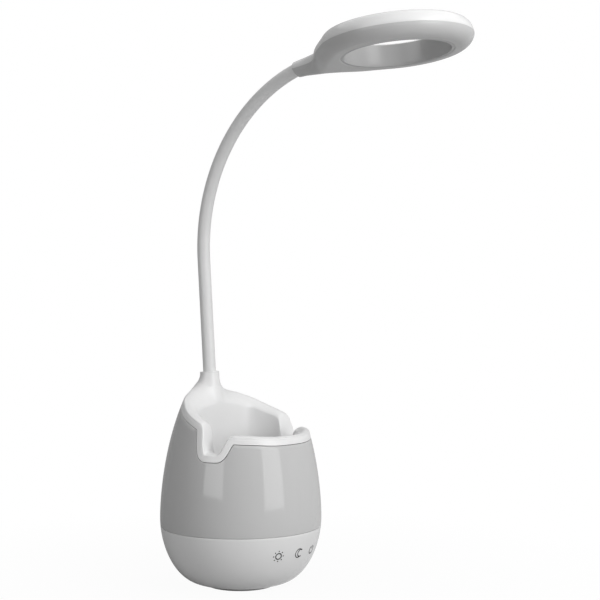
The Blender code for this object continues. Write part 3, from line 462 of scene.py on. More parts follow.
def finish(name, tint):
    """Make a finish in a colour, and let its tone, roughness and fine bump vary.

    The tone and the roughness run softly over the patches, and the bump over the grain.
    """
    values, factors, roughness, patch, grain, depth = FINISHES[name]
    material, tree, shader = new_finish(name, values)
    place = add_node(tree, "TexCoord").outputs["Object"]
    cloud = add_node(tree, "TexNoise",
                     {"Scale": per_mm(patch), "Detail": 3.0, "Roughness": 0.55},
                     {"Vector": place})
    light, dark = (shade(tint, factor) for factor in factors)
    tone = add_node(tree, "Mix", {"data_type": "RGBA", 6: light, 7: dark},
                    {0: cloud.outputs["Fac"]})
    gloss = add_node(tree, "MapRange",
                     {"From Min": 0.3, "From Max": 0.7, "To Min": roughness[0],
                      "To Max": roughness[1]}, {"Value": cloud.outputs["Fac"]})
    fine = add_node(tree, "TexNoise", {"Scale": per_mm(grain), "Detail": 2.0},
                    {"Vector": place})
    bump = add_node(tree, "Bump", {"Strength": 0.5, "Distance": depth * MM},
                    {"Height": fine.outputs["Fac"]})
    tree.links.new(tone.outputs[2], shader.inputs["Base Color"])
    tree.links.new(gloss.outputs["Result"], shader.inputs["Roughness"])
    tree.links.new(bump.outputs["Normal"], shader.inputs["Normal"])
    return material


def ridged(material, wave, strength, depth):
    """Lay a wave's ridges, of a depth in millimetres, over a finish's fine bump."""
    tree = material.node_tree
    normal = tree.nodes["Principled BSDF"].inputs["Normal"]
    place = add_node(tree, "TexCoord").outputs["Object"]
    lines = add_node(tree, "TexWave", wave, {"Vector": place})
    ridge = add_node(tree, "Bump", {"Strength": strength, "Distance": depth * MM},
                     {"Height": lines.outputs["Fac"], "Normal": normal.links[0].from_socket})
    tree.links.new(ridge.outputs["Normal"], normal)
    return material


def zinc_steel(tint):
    """Zinc plated steel with turning lines from the tool."""
    rings = {"wave_type": "RINGS", "rings_direction": "Z", "Scale": per_mm(3.0),
             "Distortion": 0.6}
    return ridged(finish("zinc_plated_steel", tint), rings, 0.3, 0.01)


def wound_steel(tint):
    """Spring steel wire whose turns lie 1.6 mm apart."""
    # A wave's scale of 1 gives a band every 0.31 units, so 1.6 mm needs this scale
    turns = {"bands_direction": "Z", "Scale": 0.314 * per_mm(1.6)}
    return ridged(finish("wound_spring_steel", tint), turns, 0.8, 0.4)


def board_laminate(tint, copper):
    """Green circuit board with dull copper tracks that show through 3 mm apart."""
    material = finish("lacquered_glass_laminate", tint)
    tree = material.node_tree
    place = add_node(tree, "TexCoord").outputs["Object"]
    tracks = add_node(tree, "TexBrick",
                      {"Scale": per_mm(12.0), "Mortar Size": 0.03, "Mortar Smooth": 0.1,
                       "Color1": shade(tint), "Color2": shade(tint, 0.8),
                       "Mortar": shade(copper, 0.5)}, {"Vector": place})
    tree.links.new(tracks.outputs["Color"],
                   tree.nodes["Principled BSDF"].inputs["Base Color"])
    return material


# Lines of the base

def egg_radius(z):
    """Outer radius of the base at a height."""
    base, cup = settings("base", "cup")
    waist, middle = base.waist_radius, base.waist_height
    if z >= middle:
        left = 1.0 - (base.back_radius / waist) ** 2
        span = (cup.back_height - middle) / left ** (1.0 / UPPER_POWER)
        return waist * sqrt(max(1.0 - ((z - middle) / span) ** UPPER_POWER, 0.0))
    share = (middle - max(z, base.bottom_height)) / (middle - base.bottom_height)
    bulge = waist - base.bottom_radius
    return base.bottom_radius + bulge * sqrt(max(1.0 - share ** LOWER_POWER, 0.0))


def egg_slope(z, step):
    """Change of the outer radius with height, over a step up and a step down."""
    return (egg_radius(z + step) - egg_radius(z - step)) / (2.0 * step)


def inner_radius(z, wall):
    """Radius inside a wall of even thickness at a height."""
    return egg_radius(z) - wall * sqrt(1.0 + egg_slope(z, 0.3 * MM) ** 2)


def mirrored(i, last):
    """Place in a row of samples that is mirrored at both of its ends."""
    i = abs(i)
    return 2 * last - i if i > last else i


def blurred(values, width):
    """Spread even samples by a bell curve of a width in samples, mirrored at the ends."""
    reach = int(3.0 * width) + 1
    bell = [(k, exp(-0.5 * (k / width) ** 2)) for k in range(-reach, reach + 1)]
    total = sum(weight for _, weight in bell)
    last = len(values) - 1
    return [sum(weight * values[mirrored(i + k, last)] for k, weight in bell) / total
            for i in range(last + 1)]


def rim_table():
    """Heights of the rim's crest from the front to the back, at even angles."""
    cup = settings("cup")
    count = int(180.0 / TABLE_STEP)
    angles = spaced(0.0, 180.0, count)
    rise = cup.back_height - cup.front_height
    plain = [cup.front_height + rise * share_at(RIM_RISE_SHARES, a) for a in angles]
    notch = [smoothstep(*NOTCH_FRONT_ANGLES, a) - smoothstep(*NOTCH_BACK_ANGLES, a)
             for a in angles]
    plain = blurred(plain, RIM_BLUR / TABLE_STEP)
    notch = blurred(notch, NOTCH_BLUR / TABLE_STEP)
    deepest = max(notch)
    crest = [p + (cup.notch_height - p) * n / deepest for p, n in zip(plain, notch)]
    # The notch's upper corners are rounded as a disc rolled under the line leaves them
    step = egg_radius(cup.front_height) * radians(TABLE_STEP)
    reach = int(NOTCH_ROUNDING / step)
    disc = [(k, sqrt(NOTCH_ROUNDING ** 2 - (k * step) ** 2)) for k in range(-reach, reach + 1)]
    under = [min(crest[mirrored(i + k, count)] - lift for k, lift in disc)
             for i in range(count + 1)]
    return [max(under[mirrored(i + k, count)] + lift for k, lift in disc)
            for i in range(count + 1)]


def read_even(table, angle):
    """Read a table of even angles at any angle."""
    place = min(abs((angle + 180.0) % 360.0 - 180.0), 180.0) / TABLE_STEP
    i = min(int(place), len(table) - 2)
    return table[i] + (table[i + 1] - table[i]) * (place - i)


def sunk(table, angle, depth):
    """Height of the line that runs an even depth below the rim's crest."""
    if depth <= 0.0:
        return read_even(table, angle)
    reach = degrees(depth / egg_radius(read_even(table, angle) - depth))
    return min(read_even(table, angle + reach * sin(turn)) - depth * cos(turn)
               for turn in map(radians, spaced(-90.0, 90.0, 32)))


def rim_angles():
    """Angles of the columns round the rim, close together round both notches."""
    angles = [0.0]
    while angles[-1] < 179.0:
        near = NOTCH_SPAN[0] <= angles[-1] < NOTCH_SPAN[1]
        angles.append(angles[-1] + (0.4 if near else 1.0))
    return [-a for a in reversed(angles[1:])] + angles + [180.0]


def bore_radius(angle):
    """Radius of the cup's bore: a shifted circle with a flat back before the neck."""
    cup = settings("cup")
    turn = radians(angle)
    round_radius = egg_radius(cup.front_height) - cup.rim_width - cup.bore_shift
    across = cup.bore_shift * sin(turn)
    circle = cup.bore_shift * cos(turn) + sqrt(round_radius ** 2 - across ** 2)
    flat_share = circle * max(-cos(turn), 0.0) / cup.bore_back
    return circle * (1.0 + flat_share ** BORE_CORNER_POWER) ** (-1.0 / BORE_CORNER_POWER)


# Line of the gooseneck

def neck_point(s, side=0.0, ahead=0.0):
    """Point at a length along the gooseneck, moved sideways and square to it."""
    neck = settings("neck")
    lean = -neck.lean
    run = min(s, neck.straight)
    heading = lean + max(s - neck.straight, 0.0) / neck.arc_radius
    forward = run * sin(lean) - neck.foot_back
    z = neck.foot_height + run * cos(lean)
    forward += neck.arc_radius * (cos(lean) - cos(heading)) + ahead * cos(heading)
    z += neck.arc_radius * (sin(heading) - sin(lean)) - ahead * sin(heading)
    return Vector((side, -forward, z))


def neck_ring_point(s, radius, turn):
    """Point at a length along the gooseneck and a turn and radius round it."""
    return neck_point(s, radius * sin(turn), radius * cos(turn))


def collar_place(z):
    """Length along the gooseneck at a height near its foot."""
    neck = settings("neck")
    return (z - neck.foot_height) / cos(neck.lean)


def neck_behind(z):
    """Distance behind the base's axis of the straight run's axis at a height."""
    neck = settings("neck")
    return neck.foot_back + (z - neck.foot_height) * tan(neck.lean)


# Pieces of the base

def make_bowl(material):
    base = settings("base")
    top = base.seam_height - base.seam_gap / 2.0
    low = base.bottom_height
    edge = 0.5 * MM
    outer = arc((egg_radius(top) - edge, top - edge), edge, 90.0, 0.0, 4)
    for angle in spaced(0.0, 90.0, 34)[1:-1]:
        z = top - edge - (top - edge - low) * sin(radians(angle))
        outer.append((egg_radius(z), z))
    outer += arc((base.bottom_radius - edge, low + edge), edge, -20.0, -90.0, 4)
    floor = low + base.bowl_wall
    inner = [(COVER_HOLE_RADIUS, low), (COVER_HOLE_RADIUS, floor),
             (base.bottom_radius + base.bowl_wall, floor)]
    for share in (0.14, 0.2, 0.26, 0.35, 0.45, 0.6, 0.75, 0.88):
        z = low + (top - low) * share
        inner.append((inner_radius(z, base.bowl_wall), z))
    ledge = inner_radius(top, base.bowl_wall) - 3.0 * MM
    inner += [(ledge, top - 2.0 * MM), (ledge, top)]
    bowl = piece_from("bowl", *lofted(turned(outer + inner, 180)), material)
    low_corner, high_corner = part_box("charging_socket")
    middle = (low_corner[2] + high_corner[2]) / 2.0
    play = 0.3 * MM
    slot = rounded_bar("socket_slot", high_corner[0] + play, high_corner[2] - middle + play,
                       high_corner[1] - 6.0 * MM, high_corner[1] + 4.0 * MM, middle, material)
    return cut_out(bowl, slot)


def bar_outline(half_width, half_height, corner, middle):
    """Outline of a round cornered bar, as (x, z) points round its middle."""
    points = []
    for side, rise, first in ((1, 1, 0), (-1, 1, 90), (-1, -1, 180), (1, -1, 270)):
        centre = (side * (half_width - corner), middle + rise * (half_height - corner))
        points += arc(centre, corner, first, first + 90.0, 8)
    return points


def rounded_bar(name, half_width, half_height, front, back, middle, material, corner=None):
    """Solid bar along y with a round cornered section."""
    corner = half_height * ROUND_SHARE if corner is None else corner
    columns = [[(0.0, front, middle), (x, front, z), (x, back, z), (0.0, back, middle)]
               for x, z in bar_outline(half_width, half_height, corner, middle)]
    return piece_from(name, *lofted(columns, closed=False), material)


def make_socket(shell_finish, tongue_finish, contact_finish):
    """Drawn metal shell of the charging socket, with its tongue and contacts."""
    (_, front, low), (half_width, back, high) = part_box("charging_socket")
    middle, half_height = (low + high) / 2.0, (high - low) / 2.0
    wall = 0.3 * MM
    rounding = 0.1 * MM
    floor = front + 2.0 * wall
    outline = bar_outline(half_width, half_height, half_height * ROUND_SHARE, middle)
    inside = bar_outline(half_width - wall, half_height - wall,
                         (half_height - wall) * ROUND_SHARE, middle)
    columns = [[(0.0, front, middle), (x, front, z), (x, back - rounding, z),
                ((x + u) / 2.0, back, (z + w) / 2.0), (u, back - rounding, w),
                (u, floor, w), (0.0, floor, middle)]
               for (x, z), (u, w) in zip(outline, inside)]
    shell = piece_from("socket_shell", *lofted(columns, closed=False), shell_finish)
    dressed(shell, "base", "steel", "charging_socket")
    tongue = rounded_bar("socket_tongue", half_width - 1.4 * MM, 0.33 * MM,
                         front + 0.8 * MM, back - 0.9 * MM, middle, tongue_finish, 0.15 * MM)
    dressed(tongue, "base", "tray_black")
    strips = []
    for side in (-1.0, 1.0):
        for x in spaced(-1.75, 1.75, 7):
            section = ((x - 0.12, 0.30), (x + 0.12, 0.30), (x + 0.12, 0.37), (x - 0.12, 0.37))
            strips.append([[(u * MM, y, middle + side * z * MM) for u, z in section]
                           for y in (back - 4.6 * MM, back - 1.3 * MM)])
    contacts = piece_from("socket_contacts", *capped_strips(strips), contact_finish)
    dressed(contacts, "base", "steel")


def make_foot(material):
    base = settings("base")
    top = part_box("foot_pad")[1][2]
    radius = base.foot_radius
    edge = 0.7 * MM
    groove = 0.5 * MM
    profile = [(0.0, top), (radius - 0.3 * MM, top), (radius, top - 0.3 * MM)]
    profile += arc((radius - edge, edge), edge, 0.0, -90.0, 6)
    # Two shallow rings under the foot, for grip
    for ring in (19.5 * MM, 13.0 * MM):
        profile += [(ring, 0.0), (ring - groove, groove), (ring - 3.0 * groove, groove),
                    (ring - 4.0 * groove, 0.0)]
    profile.append((0.0, 0.0))
    foot = piece_from("foot", *lofted(turned(profile, 128)), material)
    return dressed(foot, "base", "rubber_grey", "foot_pad")


def on_bowl(angle, height, across, up, lift):
    """Point of the bowl's face at a mark, moved across and up the face and out of it."""
    z = height + up / sqrt(1.0 + egg_slope(height, 0.5 * MM) ** 2)
    radius = egg_radius(z)
    return ring_point(angle + degrees(across / radius), radius + lift, z)


def stroke(path, width, closed=False):
    """Left and right edges of a drawn line of even width, as pairs of points."""
    pairs = []
    count = len(path)
    for i, (x, y) in enumerate(path):
        before = path[i - 1] if i > 0 or closed else path[i]
        after = path[(i + 1) % count] if i < count - 1 or closed else path[i]
        dx, dy = after[0] - before[0], after[1] - before[1]
        size = hypot(dx, dy)
        nx, ny = -dy / size * width / 2.0, dx / size * width / 2.0
        pairs.append(((x + nx, y + ny), (x - nx, y - ny)))
    return pairs + pairs[:1] if closed else pairs


def mark_strokes(kind):
    """Pairs of edge points of each line of a mark, in metres round its middle."""
    width = 0.8 * MM
    middle = (0.0, 0.0)
    if kind == "sun":
        lines = [stroke(arc(middle, 2.1 * MM, 0.0, 360.0, 36), width)]
        for turn in (radians(45.0 * i) for i in range(8)):
            ray = [(r * cos(turn), r * sin(turn)) for r in spaced(3.2 * MM, 4.1 * MM, 2)]
            lines.append(stroke(ray, width))
        return lines
    if kind == "moon":
        outer = arc(middle, 3.1 * MM, 48.0, 312.0, 36)
        inner = arc((1.75 * MM, 0.0), 2.62 * MM, 62.0, 298.0, 36)
        return [stroke(outer + inner[::-1], width * 0.9, closed=True)]
    upright = [(0.0, (0.4 + 0.9 * k) * MM) for k in range(4)]
    return [stroke(arc(middle, 2.9 * MM, 122.0, 418.0, 36), width), stroke(upright, width)]


def make_marks(material):
    """Sun, moon and switch marks printed over the touch pads."""
    height = settings("base").mark_height
    lift, sink = 0.02 * MM, -0.1 * MM
    for angle, kind in ((-20.0, "sun"), (-1.0, "moon"), (16.5, "switch")):
        strips = [[[on_bowl(angle, height, *side, out)
                    for side, out in ((a, lift), (a, sink), (b, sink), (b, lift))]
                   for a, b in line] for line in mark_strokes(kind)]
        mark = piece_from("mark_" + kind, *capped_strips(strips), material)
        dressed(mark, "base", "rubber_grey")


def make_diffuser(material, table):
    """Milky shell from the seam up to the even gap under the rim's band."""
    base, cup = settings("base", "cup")
    low = base.seam_height + base.seam_gap / 2.0
    edge = 0.3 * MM
    columns = []
    for angle in rim_angles()[1:]:
        high = sunk(table, angle, cup.band_height + base.band_gap)
        section = [(egg_radius(low) - edge, low)]
        section += [(egg_radius(z), z) for z in spaced(low + edge, high - edge, 26)]
        section.append((egg_radius(high) - edge, high))
        section += [(inner_radius(z, base.diffuser_wall), z) for z in spaced(high, low, 12)]
        columns.append([ring_point(angle, r, z) for r, z in section])
    shell = piece_from("diffuser", *lofted(columns), material)
    return dressed(shell, "base", "milky_grey", "diffuser_shell")


def flare_reach(x, y, z):
    """Reach of the flare's curve on the side of a point."""
    cup = settings("cup")
    behind = neck_behind(z)
    ahead = (behind - y) / max(hypot(x, y - behind), 0.1 * MM)
    return cup.flare_reach + (cup.front_reach - cup.flare_reach) * smoothstep(-0.1, 0.9, ahead)


def quarter(out):
    """Height of a hollow quarter round, from 1 at its upright end to 0 at its level end."""
    return 1.0 - sqrt(max(1.0 - (1.0 - min(out, 1.0)) ** 2, 0.0))


def plain_shoulder(angle, radius, table):
    """Height of the shoulder between the crest and the bore, without the flare."""
    cup = settings("cup")
    crest = read_even(table, angle)
    crest_radius = egg_radius(crest) - cup.lip_radius
    drop = share_at(SHOULDER_DROP_SHARES, abs(angle))
    fall = cup.lip_radius * 0.4 + cup.shoulder_drop * drop
    share = (crest_radius - radius) / (crest_radius - bore_radius(angle))
    share = min(max(share, 0.0), 1.0)
    # The fall sets in softly over the first part of the way, then runs straight
    ease = 0.3
    eased = share * share / (2.0 * ease) if share < ease else share - ease / 2.0
    swell = 0.9 * MM * (1.0 - drop) * sin(pi * min(share * 1.3, 1.0))
    return crest - fall * eased / (1.0 - ease / 2.0) + swell


def shoulder_height(angle, radius, table):
    """Height of the shoulder, raised in a curve up to the collar round the neck."""
    cup, neck = settings("cup", "neck")
    height = plain = plain_shoulder(angle, radius, table)
    if abs(angle) < 100.0:
        return plain
    x, y, _ = ring_point(angle, radius, 0.0)
    # The curve's reach depends on the height it gives, and three rounds settle it
    for _ in range(3):
        away = hypot(x, (y - neck_behind(height)) * cos(neck.lean)) - cup.collar_radius
        out = max(away / flare_reach(x, y, height), 0.15)
        height = plain + (cup.flare_start - plain) * quarter(out)
    return height


def cup_column(angle, table):
    """Points of the pen cup's section at an angle, from the floor's middle and back."""
    base, cup = settings("base", "cup")
    crest = read_even(table, angle)
    bore = bore_radius(angle)
    lip = cup.lip_radius
    crest_radius = egg_radius(crest) - lip

    def shoulder(radius):
        return shoulder_height(angle, radius, table)

    # Through the notches the bore's edge is rounded wider
    scoop = smoothstep(52.0, 62.0, abs(angle)) - smoothstep(76.0, 84.0, abs(angle))
    edge = min(cup.edge_radius + 1.0 * MM * scoop, crest_radius - bore - 0.2 * MM)
    wall_top = shoulder(bore) - edge
    fillet = 3.0 * MM
    floor_radius = bore * 0.95
    foot_z = cup.floor_height + fillet
    section = [(0.0, cup.floor_height), (floor_radius * 0.5, cup.floor_height)]
    section += arc((floor_radius - fillet, foot_z), fillet, -90.0, 0.0, 6)
    section += list(zip(spaced(floor_radius, bore, 15), spaced(foot_z, wall_top, 15)))[1:-1]
    section += [(radius, shoulder(radius) - edge + lift)
                for radius, lift in arc((bore + edge, 0.0), edge, 180.0, 90.0, 10)]
    section += [(radius, shoulder(radius))
                for radius in spaced(bore + edge, crest_radius, 26)[1:]]
    raised = section[-1][1] - crest
    for share in spaced(0.0, 1.0, 8)[1:]:
        turn = radians(90.0 * share)
        z = sunk(table, angle, lip * (1.0 - cos(turn)))
        section.append((egg_radius(z) - lip * (1.0 - sin(turn)),
                        z + raised * (1.0 - share) ** 1.5))
    # A fine line where the lip meets the band
    for depth, inset in ((0.05, 0.0), (0.2, 0.15), (0.4, 0.15), (0.55, 0.0)):
        z = sunk(table, angle, lip + depth * MM)
        section.append((egg_radius(z) - inset * MM, z))
    for share in (0.35, 0.6, 0.85):
        z = sunk(table, angle, lip + (cup.band_height - lip) * share)
        section.append((egg_radius(z), z))
    foot = sunk(table, angle, cup.band_height)
    liner = bore + cup.wall
    liner_top = min(foot, wall_top + edge - 2.2 * MM)
    under = cup.floor_height - cup.wall
    section += [(egg_radius(foot) - 0.05 * MM, foot + 0.2 * MM),
                (egg_radius(foot) - 0.25 * MM, foot),
                (inner_radius(foot, base.diffuser_wall) - 0.6 * MM, foot),
                (liner, liner_top), (liner * 0.95, under), (0.0, under)]
    return [ring_point(angle, r, z) for r, z in section]


def collar_column(turn, table):
    """Points of the neck collar's section at a turn, from its bore over its top and down."""
    cup, neck = settings("cup", "neck")
    top = collar_place(cup.collar_height)
    bore = neck.sleeve_radius + 0.3 * MM
    bead = 0.35 * MM
    rounds = [(bore, top - 0.2 * MM), (bore + 0.2 * MM, top)]
    rounds += arc((cup.collar_radius - bead, top - bead - 0.1 * MM), 1.4 * bead, 90.0, -50.0, 8)
    column = [neck_ring_point(s, r, turn) for r, s in rounds]
    place = collar_place(cup.flare_start)
    for share in spaced(0.0, 1.0, 18):
        # Down the curve the collar sinks into the shoulder, which carries the curve on
        out = 0.27 * share ** 2
        sink = (0.22 * share ** 2 - 0.03) * MM
        reach = flare_reach(*neck_ring_point(place, cup.collar_radius, turn))
        point = neck_ring_point(place, cup.collar_radius + reach * out - sink, turn)
        angle = degrees(atan2(point.x, -point.y))
        plain = plain_shoulder(angle, point.xy.length, table)
        point.z = plain + (cup.flare_start - plain) * quarter(out)
        # At the back the curve stays inside the base's own outline
        limit = egg_radius(min(point.z, cup.back_height)) - cup.lip_radius - 0.15 * MM
        if point.xy.length > limit:
            point.xy = point.xy * (limit / point.xy.length)
        column.append(point)
        place = collar_place(point.z)
    return column + [neck_ring_point(place + 2.0 * MM, bore, turn)]


def make_cup(material, table):
    """Pen cup, wavy rim, shoulder and neck collar, all of one moulding."""
    columns = [cup_column(angle, table) for angle in rim_angles()[1:]]
    body = piece_from("pen_cup_body", *lofted(columns, closed=False), material)
    columns = [collar_column(turn, table) for turn in turns(COLLAR_SIDES)]
    collar = piece_from("collar", *lofted(columns), material)
    whole = joined("pen_cup_moulding", body, collar)
    return dressed(whole, "base", "liner_white", "pen_cup")


# Gooseneck

def pivot_places():
    neck = settings("neck")
    last = neck.reach - LAST_PIVOT_BACK
    return spaced(FIRST_PIVOT, last, len(NECK_BODIES) - 2)


def sleeve_columns(start, end):
    """Columns of a length of sleeve, with points 1.2 mm apart or less along its bend."""
    neck = settings("neck")
    places = spaced(start, end, max(ceil((end - start) / (1.2 * MM)), 2))
    profile = [(neck.sleeve_radius, s) for s in places]
    profile += [(neck.sleeve_bore, s) for s in reversed(places)]
    return [[neck_ring_point(s, r, turn) for r, s in profile] for turn in turns(SLEEVE_SIDES)]


def make_neck(material):
    """One sleeve in seven lengths, one round each pivot."""
    cup, neck = settings("cup", "neck")
    pivots = pivot_places()
    middles = [(a + b) / 2.0 for a, b in zip(pivots, pivots[1:])]
    seat = collar_place(cup.collar_height) - 8.7 * MM
    stops = [seat, *middles, neck.reach]
    for i, (start, place, end) in enumerate(zip(stops, pivots, stops[1:])):
        sleeve = piece_from(f"sleeve_{i}", *lofted(sleeve_columns(start, end)), material)
        heading = neck_point(place + 0.5 * MM) - neck_point(place - 0.5 * MM)
        heading.normalize()
        pivot = neck_point(place)
        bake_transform(sleeve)
        nodes = [f"neck_sleeve_{i}"]
        if end == stops[-1]:
            nodes.append(f"neck_sleeve_{i + 1}")
        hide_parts(*nodes)


# Ring head, in its own frame: x sideways, y backward and z up the ring's axis

def head_matrix():
    """Matrix of the head's frame, with its origin on the hole's axis at its underside."""
    neck, head = settings("neck", "head")
    heading = (neck.reach - neck.straight) / neck.arc_radius - neck.lean
    turn = Matrix.Rotation(-(pi / 2.0 - head.turn - heading), 4, "X")
    middle = Vector((0.0, head.reach, STEM_MIDDLE_SHARE * head.thickness))
    end = neck_point(neck.reach + 0.3 * MM)
    return Matrix.Translation(end - turn @ middle) @ turn


def side_outline():
    """Half outline of the head in plan, from the stem's end round to the ring's front."""
    head = settings("head")
    points = [(w * MM, y * MM) for y, w in STEM_OUTLINE]
    refined = []
    # A smooth curve through the table's points, with two more points between neighbours
    padded = points[:1] + points + points[-1:]
    for corners in zip(padded, padded[1:], padded[2:], padded[3:]):
        for t in (0.0, 1.0 / 3.0, 2.0 / 3.0):
            refined.append(tuple(
                0.5 * (2.0 * h + (n - b) * t + (2.0 * b - 5.0 * h + 4.0 * n - a) * t * t
                       + (3.0 * h - b - 3.0 * n + a) * t ** 3)
                for b, h, n, a in zip(*corners)))
    first = degrees(atan2(*points[-1]))
    return refined + [(head.ring_radius * sin(turn), head.ring_radius * cos(turn))
                      for turn in map(radians, spaced(first, 180.0, 72))]


def edge_distance(x, y, outline):
    """Distance in plan from a point to the head's side outline."""
    head = settings("head")
    x = abs(x)
    if y < 10.0 * MM:
        return max(head.ring_radius - hypot(x, y), 0.0)
    nearest = 1.0
    beside = 26.0 * MM
    for (ax, ay), (bx, by) in zip(outline, outline[1:]):
        if by < y - beside or ay > y + beside:
            continue
        dx, dy = bx - ax, by - ay
        share = ((x - ax) * dx + (y - ay) * dy) / (dx * dx + dy * dy)
        share = min(max(share, 0.0), 1.0)
        nearest = min(nearest, hypot(x - ax - dx * share, y - ay - dy * share))
    return nearest


def head_columns(outline, hole):
    """Start, bend and end of each column of the head's skin in plan, right round.

    The columns run from the outline to a circle round the hole. The first ones cross the
    stem's end from left to right, and are marked as such.
    """
    head = settings("head")
    lead = radians(5.0)

    def column(x, y, turn, stem, across_end):
        """A column to a turn of the hole, which bends aside the more it is on the stem."""
        target = (hole * sin(turn), hole * cos(turn))
        along = 0.35 * stem
        bend = ((x + target[0]) / 2.0 * (1.0 - along) + target[0] * along,
                (y + target[1]) / 2.0 * (1.0 - along) + y * along)
        return ((x, y), bend, target, across_end)

    columns = [column(outline[0][0] * sin(pi / 2.0 * share), head.reach,
                      lead * share, 1.0, True) for share in spaced(-1.0, 1.0, 24)]
    right = []
    for i, (x, y) in enumerate(outline[1:], 1):
        place = atan2(x, y)
        stem = smoothstep(*STEM_BLEND, y)
        # Along the stem the columns share out the hole's back between them
        spread = lead + (pi - lead) * (i / (len(outline) - 1.0)) ** 1.6
        right.append(column(x, y, place + (spread - place) * stem, stem, False))
    left = [(*((-x, y) for x, y in mirror[:3]), False) for mirror in reversed(right[:-1])]
    return columns + right + left


def curve_at(points, t):
    """Point of a quadratic curve."""
    (ax, ay), (bx, by), (cx, cy) = points
    a, b, c = (1.0 - t) ** 2, 2.0 * t * (1.0 - t), t * t
    return (a * ax + b * bx + c * cx, a * ay + b * by + c * cy)


class HeadSkin:
    """Heights of the head above and below its parting line."""

    def __init__(self):
        self.head = settings("head")
        self.outline = side_outline()
        self.middle = self.head.parting * self.head.thickness
        self.axis = [(i * MM, edge_distance(0.0, i * MM, self.outline))
                     for i in range(int(self.head.reach / MM) + 2)]

    def height(self, x, y, top):
        """Height of the upper or lower skin over a point in plan."""
        head = self.head
        behind = hypot(x, y) if y > 0.0 else 0.0
        place = (head.reach - behind) / (head.reach - head.ring_radius)
        shares = STEM_RISE_SHARES if top else STEM_FALL_SHARES
        rise = head.thickness * share_at(shares, max(place, 0.0))
        on_stem = smoothstep(32.0 * MM, 56.0 * MM, y)
        # Width and squareness of the rounding along the outline
        widest, power = 8.5 * MM, 1.8
        if top:
            widest, power = (5.8 + 4.7 * on_stem) * MM, 1.7 + 0.6 * on_stem
        width = min(widest, share_at(self.axis, y)) if y > 36.0 * MM else widest
        away = min(edge_distance(x, y, self.outline) / width, 1.0)
        full = (1.0 - (1.0 - away) ** power) ** (1.0 / power)
        height = self.middle + rise * full * (1.0 if top else -1.0)
        if top:
            # The ring's top falls a little from its crest to the hole
            crest = head.ring_radius - widest
            past = max(crest - hypot(x, y), 0.0) / max(crest - head.hole_radius, MM)
            height -= 1.3 * MM * past ** 1.3 * (1.0 - on_stem)
        return height

    def leaned(self, x, y, z):
        """Lean the stem's end square to the gooseneck."""
        head = self.head
        lean = tan(head.turn) * smoothstep(62.0 * MM, head.reach, y)
        return (x, y + (z - STEM_MIDDLE_SHARE * head.thickness) * lean, z)


def skin_columns(skin, hole, top, edge):
    """Columns of one skin of the head from its parting line in to the hole's edge."""
    rising, level = 9, 25
    gap = (0.04 if top else -0.04) * MM
    foot = skin.middle + gap
    columns = []
    for start, bend, end, across_end in head_columns(skin.outline, hole):
        column = []
        steep = 0.9 * MM / hypot(start[0] - end[0], start[1] - end[1])
        places = spaced(steep, 1.0, level - 1)
        if across_end:
            # Up the stem's end, whose upper edge is rounded by half a millimetre
            x, y = start
            peak = skin.height(x, y, top) - foot
            rounding = 0.5 * MM * min(abs(peak) / (2.0 * MM), 1.0)
            for angle in spaced(0.0, 90.0, rising - 1):
                share = sin(radians(angle))
                inset = rounding * (max(share - 0.8, 0.0) / 0.2) ** 2
                column.append(skin.leaned(x, y - inset, foot + peak * share))
        else:
            # Rows lie as on the stem's end along the stem, and closer to the edge elsewhere
            stem = smoothstep(*STEM_BLEND, start[1])
            places = [steep * (i / rising) ** 2 for i in range(rising)] + places
            for i, share in enumerate(spaced(0.0, 1.0, rising + level - 1)):
                ring = 0.75 * share ** 2.4 + 0.25 * share ** 2
                places[i] = ring + (places[i] - ring) * stem
        for t in places:
            x, y = curve_at((start, bend, end), t)
            z = skin.height(x, y, top) if t > 0.0 else foot
            inward = hypot(x, y) - hole
            if inward < edge:
                z -= edge - sqrt(max(edge ** 2 - (edge - inward) ** 2, 0.0))
            column.append(skin.leaned(x, y, z))
        columns.append(column)
    return columns


def head_piece(name, columns, material, wall):
    """Make a skin of the head in its own frame and give it a wall's thickness inward."""
    piece = piece_from(name, *lofted(columns, closed=False), material, sharp=50.0)
    solidify = piece.modifiers.new("Wall", "SOLIDIFY")
    solidify.thickness = wall
    solidify.offset = -1.0
    solidify.use_even_offset = False
    applied(piece)
    piece.data.transform(head_matrix())
    return piece


def make_head_top(material, painted_shade_wall_material):
    """Upper shell, and the wall of the hole with the lip below it, whose darker grey is painted
    shade.
    """
    head = settings("head")
    skin = HeadSkin()
    hole = head.hole_radius
    lip = 0.4 * MM
    low = 0.1 * MM
    back, foot = hole + head.wall, hole + 1.95 * MM
    columns = skin_columns(skin, hole, True, 0.5 * MM)
    walls = []
    for column, (_, _, (x, y), _) in zip(columns, head_columns(skin.outline, hole)):
        high = column[-1][2] - 0.02 * MM
        section = [(hole, z) for z in spaced(high, low + lip, 8)[:-1]]
        section += arc((hole + lip, low + lip), lip, 180.0, 270.0, 5)
        section += [(foot, low), (foot, head.wall), (back, head.wall + 0.3 * MM), (back, high)]
        walls.append([(x / hole * r, y / hole * r, z) for r, z in section])
    top = head_piece("head_cover", columns, material, head.wall)
    dressed(top, "head", "gloss_white", "head_top")
    # The wall takes the milky cover's finish in the darker grey of painted shade
    lining = piece_from("head_hole_wall", *lofted(walls), painted_shade_wall_material)
    lining.data.transform(head_matrix())
    dressed(lining, "head", "lens_white")


def make_head_lens(material):
    """Milky cover from the parting line in to the lip round the hole."""
    head = settings("head")
    skin = HeadSkin()
    columns = skin_columns(skin, head.hole_radius + 2.0 * MM, False, 0.0)
    lens = head_piece("head_light_cover", columns, material, head.wall)
    return dressed(lens, "head", "lens_white", "head_lens")


# Operators

